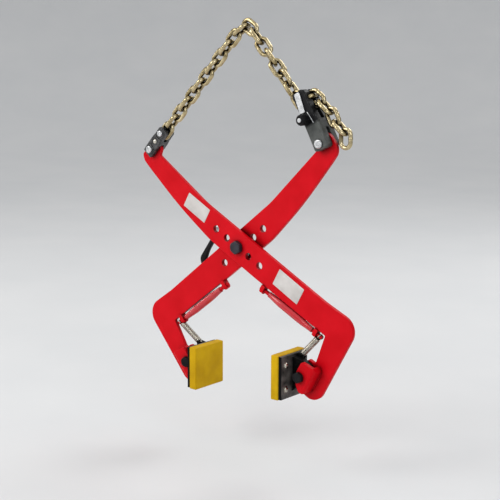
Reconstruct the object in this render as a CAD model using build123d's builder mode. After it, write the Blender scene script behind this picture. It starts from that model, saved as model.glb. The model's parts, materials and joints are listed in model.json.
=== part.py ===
"""Stone lifting clamp: two crossed arms on a pivot, chain legs, sprung jaws with pads.

Millimetres, +Z up, X across the jaw gap, -Y towards the viewer.
The origin is the seat under the two saddle links, where the clamp hangs.
"""
import os
from math import asin, cos, pi, radians, sin, sqrt

from build123d import *

os.makedirs("parts", exist_ok=True)

# Play between moving pieces and running fits
GAP = 0.3
FIT = 0.05

# Round-link chain, 8 x 24
WIRE = 8.0
PITCH = 24.0
LINK_PLAY = 0.6
INNER_LENGTH = PITCH + LINK_PLAY
INNER_WIDTH = 12.0
CROWN = (INNER_WIDTH + WIRE) / 2
STRAIGHT = INNER_LENGTH / 2 + WIRE / 2 - CROWN
WIRE_REACH = INNER_LENGTH / 2 + WIRE / 2
WIRE_STEP = WIRE + LINK_PLAY
WIRE_SIDES = 8
WIRE_SECTION = 4.1
CROWN_STEPS = 6
LEFT_LINKS = 11
RIGHT_LINKS = 7
SADDLE_TILT = 34.0
SADDLE_SHIFT = 8.0
SADDLE_TWIST = 84.0
SEAT_TWIST = 5.0
RIGHT_SLACK = 2.0

# Arm plates, in each arm's own directions: u along the row of holes, v to the outer edge
ARM_ANGLE = 34.0
LEAN = 5.0
PLATE = 8.0
PLATE_MID = 9.0
HOLE_STEP = 30.0
PIVOT_D = 14.0
PIN_U = -271.0
PIN_V = 44.0
ARM_PIN_D = 12.0
JAW_U = 248.5
JAW_V = -109.5
PLATE_EDGE = 0.8
ARM_OUTLINE = [
    (-105, 28.5, 200),
    (215, 31.5, 0),
    (295, 37.5, 30),
    (295, -146, 26),
    (260, -146, 14),
    (236, -126, 14),
    (237, -81, 5),
    (254, -80, 5),
    (245, -21.5, 2),
    (60, -26.5, 200),
    (-64, -27.5, 200),
    (-160, -15.5, 900),
    (-258, 6.5, 30),
    (-291, 15, 22),
    (-291, 64, 20),
    (-252, 62.5, 14),
    (-250, 43, 4),
]

# Fork at the cranked end
FORK_GAP = 14.0
CHEEK = 9.0
WALL_U = 271.5
JAW_BOLT_D = 12.0
HUB_MID = PLATE / 2 + FORK_GAP / 2
CHEEK_OUTLINE = [
    (239, -82, 3),
    (274, -76, 9),
    (274, -133, 8),
    (260, -134.5, 6),
    (250, -127, 8),
    (238.5, -103, 8),
]

# Jaw bracket and pad, from the jaw bolt's axis towards the jaw gap
PAD_WIDTH = 82.0
PAD_HEIGHT = 83.0
PAD_DROP = 2.6
PAD = 17.0
BRACKET_PLATE = 6.0
HUB_REACH = 22.6
HUB_R = 12.0
HUB_WEB = 33.0
EAR_X = 12.5
EAR_Z = 34.9

# Return spring of the jaw
SPRING_R = 4.6
SPRING_WIRE = 3.0
SPRING_TURNS = 7
SPRING_PITCH = 4.6
SPRING_SIDES = 4
ROD_TAIL = 12.0
EAR_PIN_D = 5.0

# Hand-grip sleeve on its rod
ROD_D = 8.0
SLEEVE_START = (104.0, -34.2)
SLEEVE_LENGTH = 112.0
SLEEVE_TILT = 1.55
LUG_UPPER = -16.0
LUG_LOWER = 121.0
LUG = 8.0

# Left clevis, in directions f across and e up along the leg
CLEVIS_PINS = 44.0
CLEVIS_GAP = PLATE + 0.8
CLEVIS_CHEEK = 9.0
CLEVIS_GROOVE = 33.5
CLEVIS_OUTLINE = [
    (-12, -12, 4),
    (12, -12, 4),
    (12, 24, 6),
    (10.8, 33, 6),
    (10.8, 55, 7),
    (-10.8, 55, 7),
    (-10.8, 33, 6),
    (-12, 24, 6),
]
CHAIN_PIN_D = 10.0

# Chain shortener on the rear arm, in directions f across and e up along its body
SEAT_DISTANCE = 94.0
SEAT_SWING = 10.4
POCKET_E = 85.0
POCKET_F = 0.6
SHORTENER_HALF = 20.0
SLOT = 10.4
SHORTENER_OUTLINE = [
    (-14.5, -10, 5),
    (17, -11.5, 5),
    (17, 38, 20),
    (14, 62, 20),
    (14, 102, 9),
    (-15, 102, 7),
    (-14, 44, 30),
]
SLOT_FOOT = 42.0
LOCK_F = -4.5
LOCK_E = 49.0
KNOB_R = 10.0
KNOB = 19.0
TAIL_HEADINGS = [-33.0, -40.0, -62.0, -42.0]
TAIL_HANGING = 1

# Open-hold hook behind the rear arm
HOOK_U = -75.0
HOOK_V = -12.0
HOOK = 8.0
HOOK_FACE = 15.0
HOOK_PLAY = 0.8
STUD_D = 10.0
CATCH_U = 92.0
CATCH_V = 17.0
CATCH_D = 10.0


def turned(vector, axis, angle):
    """Vector turned about an axis through the origin, angle in degrees."""
    return Vector(*vector).rotate(Axis((0, 0, 0), tuple(axis)), angle)


def inside(base, x, y, z=0.0):
    """Point given in a plane's own coordinates."""
    return base.from_local_coords(Vector(x, y, z))


def plane_at(base, x, y, z, x_dir, z_dir):
    """Plane at a point of a base plane, its directions given in the base plane too."""
    origin = inside(base, x, y, z)
    along = inside(base, *x_dir) - base.origin
    normal = inside(base, *z_dir) - base.origin
    return Plane(origin=origin, x_dir=along, z_dir=normal)


def heading(angle):
    """Direction in the X-Z plane, degrees above +X."""
    return Vector(cos(radians(angle)), 0, sin(radians(angle)))


def spots(corners):
    """Points of an outline given as (x, y, corner radius)."""
    return [(x, y) for x, y, _ in corners]


def rounds(corners):
    """Corner radii of an outline given as (x, y, corner radius)."""
    return [r for _, _, r in corners]


def circles_meet(a, ra, b, rb):
    """Lower crossing of two circles in the X-Z plane."""
    across = b - a
    span = across.length
    along = (ra * ra - rb * rb + span * span) / (2 * span)
    drop = sqrt(ra * ra - along * along)
    unit = across / span
    side = Vector(-unit.Z, 0, unit.X)
    first = a + unit * along + side * drop
    second = a + unit * along - side * drop
    return first if first.Z < second.Z else second


# Places of the chain and the arms
saddle_left = heading(SADDLE_TILT)
saddle_right = heading(-SADDLE_TILT)
seat_reach = CROWN - WIRE_STEP
crest = Vector(SADDLE_SHIFT, 0, CROWN + WIRE / 2) - saddle_right * seat_reach
first_saddle = crest - saddle_left * WIRE_REACH
second_saddle = crest + saddle_right * (WIRE_REACH - WIRE_STEP)
wire_left = first_saddle - saddle_left * WIRE_REACH
crown_right = second_saddle + saddle_right * STRAIGHT

front_u = heading(LEAN - ARM_ANGLE)
front_v = heading(LEAN - ARM_ANGLE + 90)
rear_u = heading(180 + LEAN + ARM_ANGLE)
rear_v = heading(90 + LEAN + ARM_ANGLE)
pin_left = front_u * PIN_U + front_v * PIN_V
pin_right = rear_u * PIN_U + rear_v * PIN_V

half_inner = INNER_LENGTH / 2
hang_step = WIRE_REACH - WIRE_STEP
crown_step = WIRE_REACH + seat_reach
pin_step = half_inner - CHAIN_PIN_D / 2 - GAP
left_chain_run = sqrt((pin_step + (LEFT_LINKS - 1) * PITCH + hang_step) ** 2 - PLATE_MID**2)
right_chain_run = sqrt(((RIGHT_LINKS - 1) * PITCH + crown_step - RIGHT_SLACK) ** 2 - PLATE_MID**2)
left_leg = CLEVIS_PINS + left_chain_run
right_leg = SEAT_DISTANCE + right_chain_run
pivot = circles_meet(wire_left - pin_left, left_leg, crown_right - pin_right, right_leg)

FRONT = Plane(origin=pivot - Vector(0, PLATE_MID, 0), x_dir=front_u, z_dir=(0, -1, 0))
REAR = Plane(origin=pivot + Vector(0, PLATE_MID, 0), x_dir=rear_u, z_dir=(0, 1, 0))
ARMS = {"front": FRONT, "rear": REAR}
TOWARDS_GAP = {"front": Vector(-1, 0, 0), "rear": Vector(1, 0, 0)}
# Both forks stand on the viewer's face of their arm
FORK_FACE = {"front": 1, "rear": -1}


def jaw_plane(side):
    """Jaw directions at the middle of the hub: x to the jaw gap, z up."""
    origin = inside(ARMS[side], JAW_U, JAW_V, FORK_FACE[side] * HUB_MID)
    return Plane(origin=origin, x_dir=TOWARDS_GAP[side], z_dir=(0, 0, 1))


pin_left = inside(FRONT, PIN_U, PIN_V)
pin_right = inside(REAR, PIN_U, PIN_V)
left_up = (wire_left - Vector(pin_left.X, 0, pin_left.Z)).normalized()
right_up = (crown_right - Vector(pin_right.X, 0, pin_right.Z)).normalized()
CLEVIS = Plane(origin=pin_left, x_dir=turned(left_up, (0, 1, 0), 90), z_dir=(0, -1, 0))
body_up = turned(right_up, (0, 1, 0), SEAT_SWING)
SHORTENER = Plane(origin=pin_right, x_dir=turned(body_up, (0, 1, 0), 90), z_dir=(0, -1, 0))


def link_place(centre, direction, twist):
    """Place of a link: its length along the direction, twisted from the X-Z plane."""
    along = direction.normalized()
    flat = Vector(0, 1, 0) - along * along.Y
    return Location(Plane(origin=centre, x_dir=along, z_dir=turned(flat, along, twist)))


def next_centre(centre, direction, following, flat_first):
    """Centre of the link that hangs in the end of the one before, bent in the X-Z plane."""
    if flat_first:
        return centre + direction * STRAIGHT + following * crown_step
    return centre + direction * WIRE_REACH + following * hang_step


# Left leg: from the chain pin up to the first saddle link
chain_pin = inside(CLEVIS, 0, CLEVIS_PINS)
left_way = (wire_left - chain_pin).normalized()
left_places = []
for index in range(LEFT_LINKS):
    middle = chain_pin + left_way * (pin_step + index * PITCH)
    left_places.append(link_place(middle, left_way, 90 * (index % 2)))

# Right leg: from the link in the shortener's slot up to the second saddle link
seat_link = pin_right + right_up * SEAT_DISTANCE
right_way = (crown_right - seat_link).normalized()
twist_step = (630.0 - 2 * SADDLE_TWIST - SEAT_TWIST) / (RIGHT_LINKS - 1)
right_places = [link_place(seat_link, right_up + right_way, 0)]
for index in range(1, RIGHT_LINKS):
    middle = seat_link + right_way * (index * PITCH)
    right_places.append(link_place(middle, right_way, SEAT_TWIST + index * twist_step))

saddle_places = [
    link_place(first_saddle, saddle_left, 90),
    link_place(second_saddle, saddle_right, 90 + SADDLE_TWIST),
]

# Spare tail: a link across the pocket, four leaning links, then hanging ones
across = SHORTENER.x_dir
pocket_link = inside(SHORTENER, POCKET_F, POCKET_E)
spare_places = [link_place(pocket_link, across, 90)]
middle = pocket_link
direction = across
for index, angle in enumerate(TAIL_HEADINGS):
    middle = next_centre(middle, direction, heading(angle), index % 2 == 1)
    direction = heading(angle)
    spare_places.append(link_place(middle, direction, 90 * (index % 2)))
tail_hinge = middle + direction * WIRE_REACH
hanging_places = []
for index in range(TAIL_HANGING):
    drop = heading(-90)
    middle = tail_hinge + drop * (hang_step + index * PITCH)
    hanging_places.append(link_place(middle, drop, 90 * (index % 2)))

# One chain link: an eight-sided bar carried round the crowns in flat facets
crown_corner = CROWN / cos(pi / 2 / CROWN_STEPS)
link_line = [(0, -CROWN)]
for end, first in ((1, -90), (-1, 90)):
    for step in range(CROWN_STEPS):
        angle = radians(first + 180 * (step + 0.5) / CROWN_STEPS)
        link_line.append((end * STRAIGHT + crown_corner * cos(angle), crown_corner * sin(angle)))
with BuildPart() as link:
    with BuildLine() as link_path:
        Polyline(*link_line, close=True)
    with BuildSketch(Plane(origin=(0, -CROWN, 0), x_dir=(0, 0, 1), z_dir=(1, 0, 0))):
        RegularPolygon(WIRE_SECTION, WIRE_SIDES, rotation=180 / WIRE_SIDES)
    sweep(path=link_path.wire(), transition=Transition.RIGHT)

with BuildPart() as saddle_links:
    for place in saddle_places:
        add(link.part.moved(place))
saddle_links.part.label = "saddle_links"
export_step(saddle_links.part, "parts/saddle_links.step")

with BuildPart() as left_chain:
    for place in left_places:
        add(link.part.moved(place))
left_chain.part.label = "left_chain"
export_step(left_chain.part, "parts/left_chain.step")

with BuildPart() as right_chain:
    for place in right_places:
        add(link.part.moved(place))
right_chain.part.label = "right_chain"
export_step(right_chain.part, "parts/right_chain.step")

with BuildPart() as spare_chain:
    for place in spare_places:
        add(link.part.moved(place))
spare_chain.part.label = "spare_chain"
export_step(spare_chain.part, "parts/spare_chain.step")

with BuildPart() as spare_chain_end:
    for place in hanging_places:
        add(link.part.moved(place))
spare_chain_end.part.label = "spare_chain_end"
export_step(spare_chain_end.part, "parts/spare_chain_end.step")

# Left clevis: two straight cheeks, a groove across each, and a bridge between the arm and the chain
clevis_half = CLEVIS_GAP / 2 + CLEVIS_CHEEK
with BuildPart() as left_clevis:
    with BuildSketch(CLEVIS):
        with BuildLine():
            FilletPolyline(*spots(CLEVIS_OUTLINE), radius=rounds(CLEVIS_OUTLINE), close=True)
        make_face()
    extrude(amount=clevis_half, both=True)
    chamfer(left_clevis.faces().filter_by(Axis.Y).edges(), 1.5)
    for face in (1, -1):
        with BuildSketch(CLEVIS.offset(face * clevis_half)):
            with Locations((0, CLEVIS_GROOVE)):
                Rectangle(40, 2.0, rotation=6)
        extrude(amount=-face * 1.4, mode=Mode.SUBTRACT)
    with BuildSketch(CLEVIS):
        with Locations((0, -10)):
            Rectangle(60, 64)
        with Locations((0, CLEVIS_PINS + 8)):
            Rectangle(60, 44)
    extrude(amount=CLEVIS_GAP / 2, both=True, mode=Mode.SUBTRACT)
    with BuildSketch(CLEVIS):
        Circle(ARM_PIN_D / 2 + FIT)
        with Locations((0, CLEVIS_PINS)):
            Circle(CHAIN_PIN_D / 2 + FIT)
    extrude(amount=clevis_half + 1, both=True, mode=Mode.SUBTRACT)
left_clevis.part.label = "left_clevis"
export_step(left_clevis.part, "parts/left_clevis.step")


def headed_pin(base, radius, head_radius, half_length):
    """Pin across a clevis: low domed head at the viewer's side, collar behind."""
    with BuildPart() as pin:
        with BuildSketch(base):
            Circle(radius)
        extrude(amount=half_length + 3.4, both=True)
        with BuildSketch(base.offset(half_length + 0.1)):
            Circle(head_radius)
        extrude(amount=4)
        with BuildSketch(base.offset(-half_length - 0.1)):
            RegularPolygon(head_radius, 8)
        extrude(amount=-2.5)
    return pin.part


with BuildPart() as left_arm_pin:
    add(headed_pin(CLEVIS, ARM_PIN_D / 2, 8.0, clevis_half))
left_arm_pin.part.label = "left_arm_pin"
export_step(left_arm_pin.part, "parts/left_arm_pin.step")

with BuildPart() as left_chain_pin:
    chain_end = Plane(origin=chain_pin, x_dir=CLEVIS.x_dir, z_dir=CLEVIS.z_dir)
    add(headed_pin(chain_end, CHAIN_PIN_D / 2, 7.0, clevis_half))
left_chain_pin.part.label = "left_chain_pin"
export_step(left_chain_pin.part, "parts/left_chain_pin.step")

# Chain shortener: forked foot on the rear arm, slot and cross pocket for the chain above
with BuildPart() as shortener_body:
    with BuildSketch(SHORTENER):
        with BuildLine():
            FilletPolyline(*spots(SHORTENER_OUTLINE), radius=rounds(SHORTENER_OUTLINE), close=True)
        make_face()
    extrude(amount=SHORTENER_HALF, both=True)
    chamfer(shortener_body.faces().filter_by(Axis.Y).edges(), 2.0)
    with BuildSketch(SHORTENER):
        with Locations((0, 0)):
            Rectangle(60, 50)
    extrude(amount=CLEVIS_GAP / 2, both=True, mode=Mode.SUBTRACT)
    with BuildSketch(SHORTENER):
        with Locations((0, SLOT_FOOT)):
            Rectangle(70, 90, align=(Align.CENTER, Align.MIN))
    extrude(amount=SLOT / 2, both=True, mode=Mode.SUBTRACT)
    with BuildSketch(SHORTENER):
        with Locations((0, POCKET_E)):
            Rectangle(70, WIRE + 1.0)
    extrude(amount=INNER_WIDTH / 2 + WIRE + 0.6, both=True, mode=Mode.SUBTRACT)
    with BuildSketch(SHORTENER):
        Circle(ARM_PIN_D / 2 + FIT)
    extrude(amount=SHORTENER_HALF + 1, both=True, mode=Mode.SUBTRACT)
    with BuildSketch(SHORTENER):
        with Locations((LOCK_F, LOCK_E)):
            Circle(4.05)
    extrude(amount=SHORTENER_HALF + 1, mode=Mode.SUBTRACT)
shortener_body.part.label = "shortener_body"
export_step(shortener_body.part, "parts/shortener_body.step")

with BuildPart() as shortener_plate:
    with BuildSketch(SHORTENER.offset(SHORTENER_HALF)):
        with BuildLine():
            FilletPolyline((-11, 63), (0.5, 61.5), (5, 99), (-7, 99), radius=[2, 2, 3, 3], close=True)
        make_face()
    extrude(amount=2.5)
shortener_plate.part.label = "shortener_plate"
export_step(shortener_plate.part, "parts/shortener_plate.step")

with BuildPart() as right_arm_pin:
    add(headed_pin(SHORTENER, ARM_PIN_D / 2, 9.0, SHORTENER_HALF))
right_arm_pin.part.label = "right_arm_pin"
export_step(right_arm_pin.part, "parts/right_arm_pin.step")

# Locking pin: slides through the front cheek across the slot, knob outside
lock_axis = plane_at(SHORTENER, LOCK_F, LOCK_E, SHORTENER_HALF, (1, 0, 0), (0, 0, 1))
with BuildPart() as locking_pin:
    with BuildSketch(lock_axis.offset(-SHORTENER_HALF - SLOT / 2 + 1)):
        Circle(4.0)
    extrude(amount=SHORTENER_HALF + SLOT / 2 + 6)
locking_pin.part.label = "locking_pin"
export_step(locking_pin.part, "parts/locking_pin.step")

with BuildPart() as locking_knob:
    with BuildSketch(lock_axis.offset(GAP)):
        Circle(KNOB_R)
    extrude(amount=KNOB)
    chamfer(locking_knob.faces().sort_by(Axis(lock_axis.origin, lock_axis.z_dir))[-1].edges(), 1.6)
    with BuildSketch(lock_axis.offset(GAP)):
        Circle(4.0)
    extrude(amount=6.7, mode=Mode.SUBTRACT)
locking_knob.part.label = "locking_knob"
export_step(locking_knob.part, "parts/locking_knob.step")


def arm_plate(base):
    """Cranked arm plate with its row of range holes."""
    with BuildPart() as arm:
        with BuildSketch(base):
            with BuildLine():
                FilletPolyline(*spots(ARM_OUTLINE), radius=rounds(ARM_OUTLINE), close=True)
            make_face()
        extrude(amount=PLATE / 2, both=True)
        chamfer(arm.faces().filter_by(Axis.Y).edges(), PLATE_EDGE)
        with BuildSketch(base):
            for index in range(-2, 3):
                with Locations((index * HOLE_STEP, 0)):
                    Circle(PIVOT_D / 2 + FIT)
            with Locations((PIN_U, PIN_V)):
                Circle(ARM_PIN_D / 2 + FIT)
            with Locations((JAW_U, JAW_V)):
                Circle(JAW_BOLT_D / 2 + FIT)
        extrude(amount=PLATE, both=True, mode=Mode.SUBTRACT)
    return arm.part


for side, base in ARMS.items():
    with BuildPart() as arm:
        add(arm_plate(base))
    arm.part.label = side + "_arm"
    export_step(arm.part, "parts/" + side + "_arm.step")


def hex_bolt(base, diameter, flats, head, length):
    """Bolt from a plane under its head: head along the normal, shank the other way."""
    with BuildPart() as bolt:
        with BuildSketch(base):
            RegularPolygon(flats / 2, 6, major_radius=False)
        extrude(amount=head)
        with BuildSketch(base):
            Circle(diameter / 2)
        extrude(amount=-length)
        chamfer(bolt.faces().sort_by(Axis(base.origin, base.z_dir))[0].edges(), 1.0)
    return bolt.part


def hex_nut(base, diameter, flats, height):
    """Nut standing on a plane."""
    with BuildPart() as nut:
        with BuildSketch(base):
            RegularPolygon(flats / 2, 6, major_radius=False)
            Circle(diameter / 2 + 0.02, mode=Mode.SUBTRACT)
        extrude(amount=height)
    return nut.part


# Pivot: bolt through both plates, spacer between them, washer and nut behind
with BuildPart() as pivot_bolt:
    add(hex_bolt(FRONT.offset(PLATE / 2), PIVOT_D, 22, 8.8, PLATE + 2 * PLATE_MID + 22))
pivot_bolt.part.label = "pivot_bolt"
export_step(pivot_bolt.part, "parts/pivot_bolt.step")

with BuildPart() as pivot_spacer:
    with BuildSketch(FRONT.offset(-PLATE / 2)):
        Circle(22)
        Circle(PIVOT_D / 2 + FIT, mode=Mode.SUBTRACT)
    extrude(amount=-(2 * PLATE_MID - PLATE - GAP))
pivot_spacer.part.label = "pivot_spacer"
export_step(pivot_spacer.part, "parts/pivot_spacer.step")

back_face = REAR.offset(PLATE / 2 + GAP)
with BuildPart() as pivot_washer:
    with BuildSketch(back_face):
        Circle(14)
        Circle(PIVOT_D / 2 + FIT, mode=Mode.SUBTRACT)
    extrude(amount=2.5)
pivot_washer.part.label = "pivot_washer"
export_step(pivot_washer.part, "parts/pivot_washer.step")

with BuildPart() as pivot_nut:
    add(hex_nut(back_face.offset(2.5), PIVOT_D, 22, 12))
pivot_nut.part.label = "pivot_nut"
export_step(pivot_nut.part, "parts/pivot_nut.step")

# Fork cheek: wall standing on the arm's face, round bend, then a flat cheek outside the hub
cheek_in = PLATE / 2 + FORK_GAP
for side, base in ARMS.items():
    face = FORK_FACE[side]
    with BuildPart() as cheek:
        with BuildSketch(plane_at(base, 0, -100 + 50 * face, 0, (1, 0, 0), (0, -face, 0))):
            with BuildLine():
                FilletPolyline(
                    (WALL_U + 2, PLATE / 2), (WALL_U, cheek_in + CHEEK), (232, cheek_in + CHEEK),
                    (232, cheek_in), (WALL_U - CHEEK, cheek_in), (WALL_U - CHEEK, PLATE / 2),
                    radius=[0, 7, 0, 0, 2, 0], close=True,
                )
            make_face()
        extrude(amount=100)
        with BuildSketch(base):
            with BuildLine():
                FilletPolyline(*spots(CHEEK_OUTLINE), radius=rounds(CHEEK_OUTLINE), close=True)
            make_face()
        extrude(amount=face * (cheek_in + CHEEK + 5), mode=Mode.INTERSECT)
        with BuildSketch(base):
            with Locations((JAW_U, JAW_V)):
                Circle(JAW_BOLT_D / 2 + FIT)
        extrude(amount=face * (cheek_in + CHEEK + 5), mode=Mode.SUBTRACT)
    cheek.part.label = side + "_fork_cheek"
    export_step(cheek.part, "parts/" + side + "_fork_cheek.step")

# Jaw bolts and their nuts
for side, base in ARMS.items():
    face = FORK_FACE[side]
    axis_place = plane_at(base, JAW_U, JAW_V, face * (cheek_in + CHEEK), (1, 0, 0), (0, 0, face))
    with BuildPart() as jaw_bolt:
        add(hex_bolt(axis_place, JAW_BOLT_D, 18, 7.5, cheek_in + CHEEK + PLATE / 2 + 11.5))
    jaw_bolt.part.label = side + "_jaw_bolt"
    export_step(jaw_bolt.part, "parts/" + side + "_jaw_bolt.step")
    nut_place = plane_at(base, JAW_U, JAW_V, -face * PLATE / 2, (1, 0, 0), (0, 0, -face))
    with BuildPart() as jaw_nut:
        add(hex_nut(nut_place, JAW_BOLT_D, 18, 9))
    jaw_nut.part.label = side + "_jaw_nut"
    export_step(jaw_nut.part, "parts/" + side + "_jaw_nut.step")

# Jaw brackets and pads
pad_back = HUB_REACH + BRACKET_PLATE
for side in ARMS:
    jaw = jaw_plane(side)
    ear_mid = -FORK_FACE[side] * HUB_MID
    facing = plane_at(jaw, HUB_REACH, 0, 0, (0, 1, 0), (1, 0, 0))
    profile = plane_at(jaw, 0, 0, 0, (1, 0, 0), (0, -1, 0))
    with BuildPart() as bracket:
        with BuildSketch(facing):
            with Locations((0, -PAD_DROP)):
                Rectangle(PAD_WIDTH - 4, PAD_HEIGHT - 3)
        extrude(amount=BRACKET_PLATE)
        with BuildSketch(profile):
            Circle(HUB_R)
            with BuildLine():
                FilletPolyline(
                    (HUB_REACH + 1, HUB_WEB), (2, 30), (-16, 20), (-11, 3), (0, 0.4 - HUB_R), (HUB_REACH + 1, -HUB_WEB),
                    radius=[0, 6, 6, 0, 0, 0], close=True,
                )
            make_face()
        extrude(amount=FORK_GAP / 2 - GAP, both=True)
        for offset in (3.8, -3.8):
            with BuildSketch(profile.offset(offset - ear_mid)):
                with BuildLine():
                    FilletPolyline(
                        (EAR_X - 6, EAR_Z + 5), (HUB_REACH + 1, EAR_Z + 2),
                        (HUB_REACH + 1, EAR_Z - 14), (EAR_X - 5, EAR_Z - 6),
                        radius=[4, 0, 0, 4], close=True,
                    )
                make_face()
            extrude(amount=1.5, both=True)
        with BuildSketch(profile.offset(-ear_mid)):
            with Locations((EAR_X, EAR_Z)):
                Circle(EAR_PIN_D / 2)
        extrude(amount=6.5, both=True)
        with BuildSketch(profile):
            Circle(JAW_BOLT_D / 2 + FIT)
        extrude(amount=FORK_GAP, both=True, mode=Mode.SUBTRACT)
    bracket.part.label = side + "_jaw_bracket"
    export_step(bracket.part, "parts/" + side + "_jaw_bracket.step")

    with BuildPart() as pad:
        with BuildSketch(facing.offset(BRACKET_PLATE)):
            with Locations((0, -PAD_DROP)):
                Rectangle(PAD_WIDTH, PAD_HEIGHT)
        extrude(amount=PAD)
        chamfer(pad.edges(), 1.5)
    pad.part.label = side + "_pad"
    export_step(pad.part, "parts/" + side + "_pad.step")

# Sleeve rods, lugs and barrels along the lower inner edge
for side, base in ARMS.items():
    slope = radians(SLEEVE_TILT)
    run = plane_at(base, *SLEEVE_START, 0, (-sin(slope), cos(slope), 0), (cos(slope), sin(slope), 0))
    with BuildPart() as lugs:
        for spot in (LUG_UPPER, LUG_LOWER):
            with BuildSketch(run.offset(spot - LUG / 2)):
                with BuildLine():
                    FilletPolyline((9.6, 7), (9.6, -7), (-7.5, -7), (-7.5, 7), radius=[0, 0, 6, 6], close=True)
                make_face()
                Circle(ROD_D / 2 + 0.02, mode=Mode.SUBTRACT)
            extrude(amount=LUG)
        add(arm_plate(base), mode=Mode.SUBTRACT)
    lugs.part.label = side + "_sleeve_lugs"
    export_step(lugs.part, "parts/" + side + "_sleeve_lugs.step")

    with BuildPart() as rod:
        with BuildSketch(run.offset(LUG_UPPER - 16)):
            Circle(ROD_D / 2)
        extrude(amount=LUG_LOWER - LUG_UPPER + 16 + LUG / 2 + ROD_TAIL)
        with BuildSketch(run.offset(LUG_UPPER - LUG / 2)):
            RegularPolygon(6.5, 6, major_radius=False)
        extrude(amount=-6.5)
        chamfer(rod.faces().sort_by(Axis(run.origin, run.z_dir))[0].edges(), 1.0)
    rod.part.label = side + "_sleeve_rod"
    export_step(rod.part, "parts/" + side + "_sleeve_rod.step")

    with BuildPart() as sleeve:
        side_view = plane_at(base, *SLEEVE_START, 0, (cos(slope), sin(slope), 0), (0, 0, 1))
        with BuildSketch(side_view):
            with BuildLine():
                lower = Line((0, ROD_D / 2 + 0.1), (SLEEVE_LENGTH, ROD_D / 2 + 0.1))
                Line((SLEEVE_LENGTH, ROD_D / 2 + 0.1), (SLEEVE_LENGTH, 5.6))
                Polyline((SLEEVE_LENGTH, 5.6), (SLEEVE_LENGTH * 0.7, 7.5), (SLEEVE_LENGTH * 0.3, 7.5), (0, 5.6))
                Line((0, 5.6), (0, ROD_D / 2 + 0.1))
            make_face()
        revolve(axis=Axis(run.origin, run.z_dir))
    sleeve.part.label = side + "_sleeve"
    export_step(sleeve.part, "parts/" + side + "_sleeve.step")


def coil_point(turn):
    """Point of the coil's centre line about +Z."""
    phase = radians(360 * turn)
    return Vector(SPRING_R * cos(phase), SPRING_R * sin(phase), (turn - SPRING_TURNS / 2) * SPRING_PITCH)


def coil_tangent(turn):
    """Direction of the coil's centre line."""
    phase = radians(360 * turn)
    return Vector(-sin(phase), cos(phase), SPRING_PITCH / (2 * pi * SPRING_R)).normalized()


def coil_arcs():
    """Centre line of the coil as pairs of tangent arcs, one pair for each half turn."""
    arcs = []
    for index in range(SPRING_TURNS * 2):
        a = coil_point(index / 2)
        b = coil_point((index + 1) / 2)
        ta = coil_tangent(index / 2)
        tb = coil_tangent((index + 1) / 2)
        chord = b - a
        both = ta + tb
        spread = 2 * (1 - ta.dot(tb))
        reach = (sqrt(chord.dot(both) ** 2 + spread * chord.dot(chord)) - chord.dot(both)) / spread
        joint = (a + b + (ta - tb) * reach) / 2
        first = Edge.make_tangent_arc(a, ta, joint)
        arcs.append(first)
        arcs.append(Edge.make_tangent_arc(joint, first % 1, b))
    return arcs


# Return spring, one unbroken tube whose ends run out straight
coil_run = coil_arcs()
coil_begin = (coil_run[0] @ 0) - (coil_run[0] % 0) * SPRING_WIRE
coil_finish = (coil_run[-1] @ 1) + (coil_run[-1] % 1) * SPRING_WIRE
with BuildPart() as coil_spring:
    with BuildLine() as coil_path:
        Line(coil_begin, coil_run[0] @ 0)
        add(coil_run)
        Line(coil_run[-1] @ 1, coil_finish)
    with BuildSketch(Plane(origin=coil_begin, x_dir=(1, 0, 0), z_dir=coil_run[0] % 0)):
        RegularPolygon(SPRING_WIRE / 2, SPRING_SIDES)
    sweep(path=coil_path.wire(), clean=False)
print("spring self gap", round(SPRING_PITCH * cos(asin(SPRING_PITCH / (2 * pi * SPRING_R))) - SPRING_WIRE, 2))


def spring_end(ring_plane, bore, towards, length):
    """Eyelet round a pin, stem and the plug that fills the coil's end."""
    stem = Plane(origin=ring_plane.origin, z_dir=towards)
    with BuildPart() as fitting:
        with BuildSketch(stem.offset(bore + 1.8)):
            RegularPolygon(1.7, 8)
        extrude(amount=length - bore - 1.8)
        with BuildSketch(stem.offset(length - 2.5)):
            RegularPolygon(SPRING_R - SPRING_WIRE / 2 - 0.1, 8)
        extrude(amount=5)
        with BuildSketch(ring_plane):
            RegularPolygon(bore + 3.2, 12)
            Circle(bore, mode=Mode.SUBTRACT)
        extrude(amount=1.5, both=True)
        with BuildSketch(ring_plane):
            Circle(bore)
        extrude(amount=3, both=True, mode=Mode.SUBTRACT)
    return fitting.part


for side, base in ARMS.items():
    jaw = jaw_plane(side)
    ear_mid = -FORK_FACE[side] * HUB_MID
    slope = radians(SLEEVE_TILT)
    run = plane_at(base, *SLEEVE_START, 0, (-sin(slope), cos(slope), 0), (cos(slope), sin(slope), 0))
    top_ring = run.offset(LUG_LOWER + LUG / 2 + ROD_TAIL / 2)
    foot_ring = plane_at(jaw, EAR_X, ear_mid, EAR_Z, (1, 0, 0), (0, 1, 0))
    between = foot_ring.origin - top_ring.origin
    coil_mid = Plane(
        origin=(top_ring.origin + foot_ring.origin) / 2, x_dir=between.cross(Vector(0, 1, 0)), z_dir=between
    )
    with BuildPart() as spring:
        add(coil_spring.part.moved(Location(coil_mid)), clean=False)
    spring.part.label = side + "_jaw_spring"
    export_step(spring.part, "parts/" + side + "_jaw_spring.step")

    stem_length = (between.length - SPRING_TURNS * SPRING_PITCH) / 2
    with BuildPart() as spring_top:
        add(spring_end(top_ring, ROD_D / 2 + 0.1, between.normalized(), stem_length))
    spring_top.part.label = side + "_spring_top"
    export_step(spring_top.part, "parts/" + side + "_spring_top.step")
    with BuildPart() as spring_foot:
        add(spring_end(foot_ring, EAR_PIN_D / 2 + 0.1, between.normalized() * -1, stem_length))
    spring_foot.part.label = side + "_spring_foot"
    export_step(spring_foot.part, "parts/" + side + "_spring_foot.step")

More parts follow.
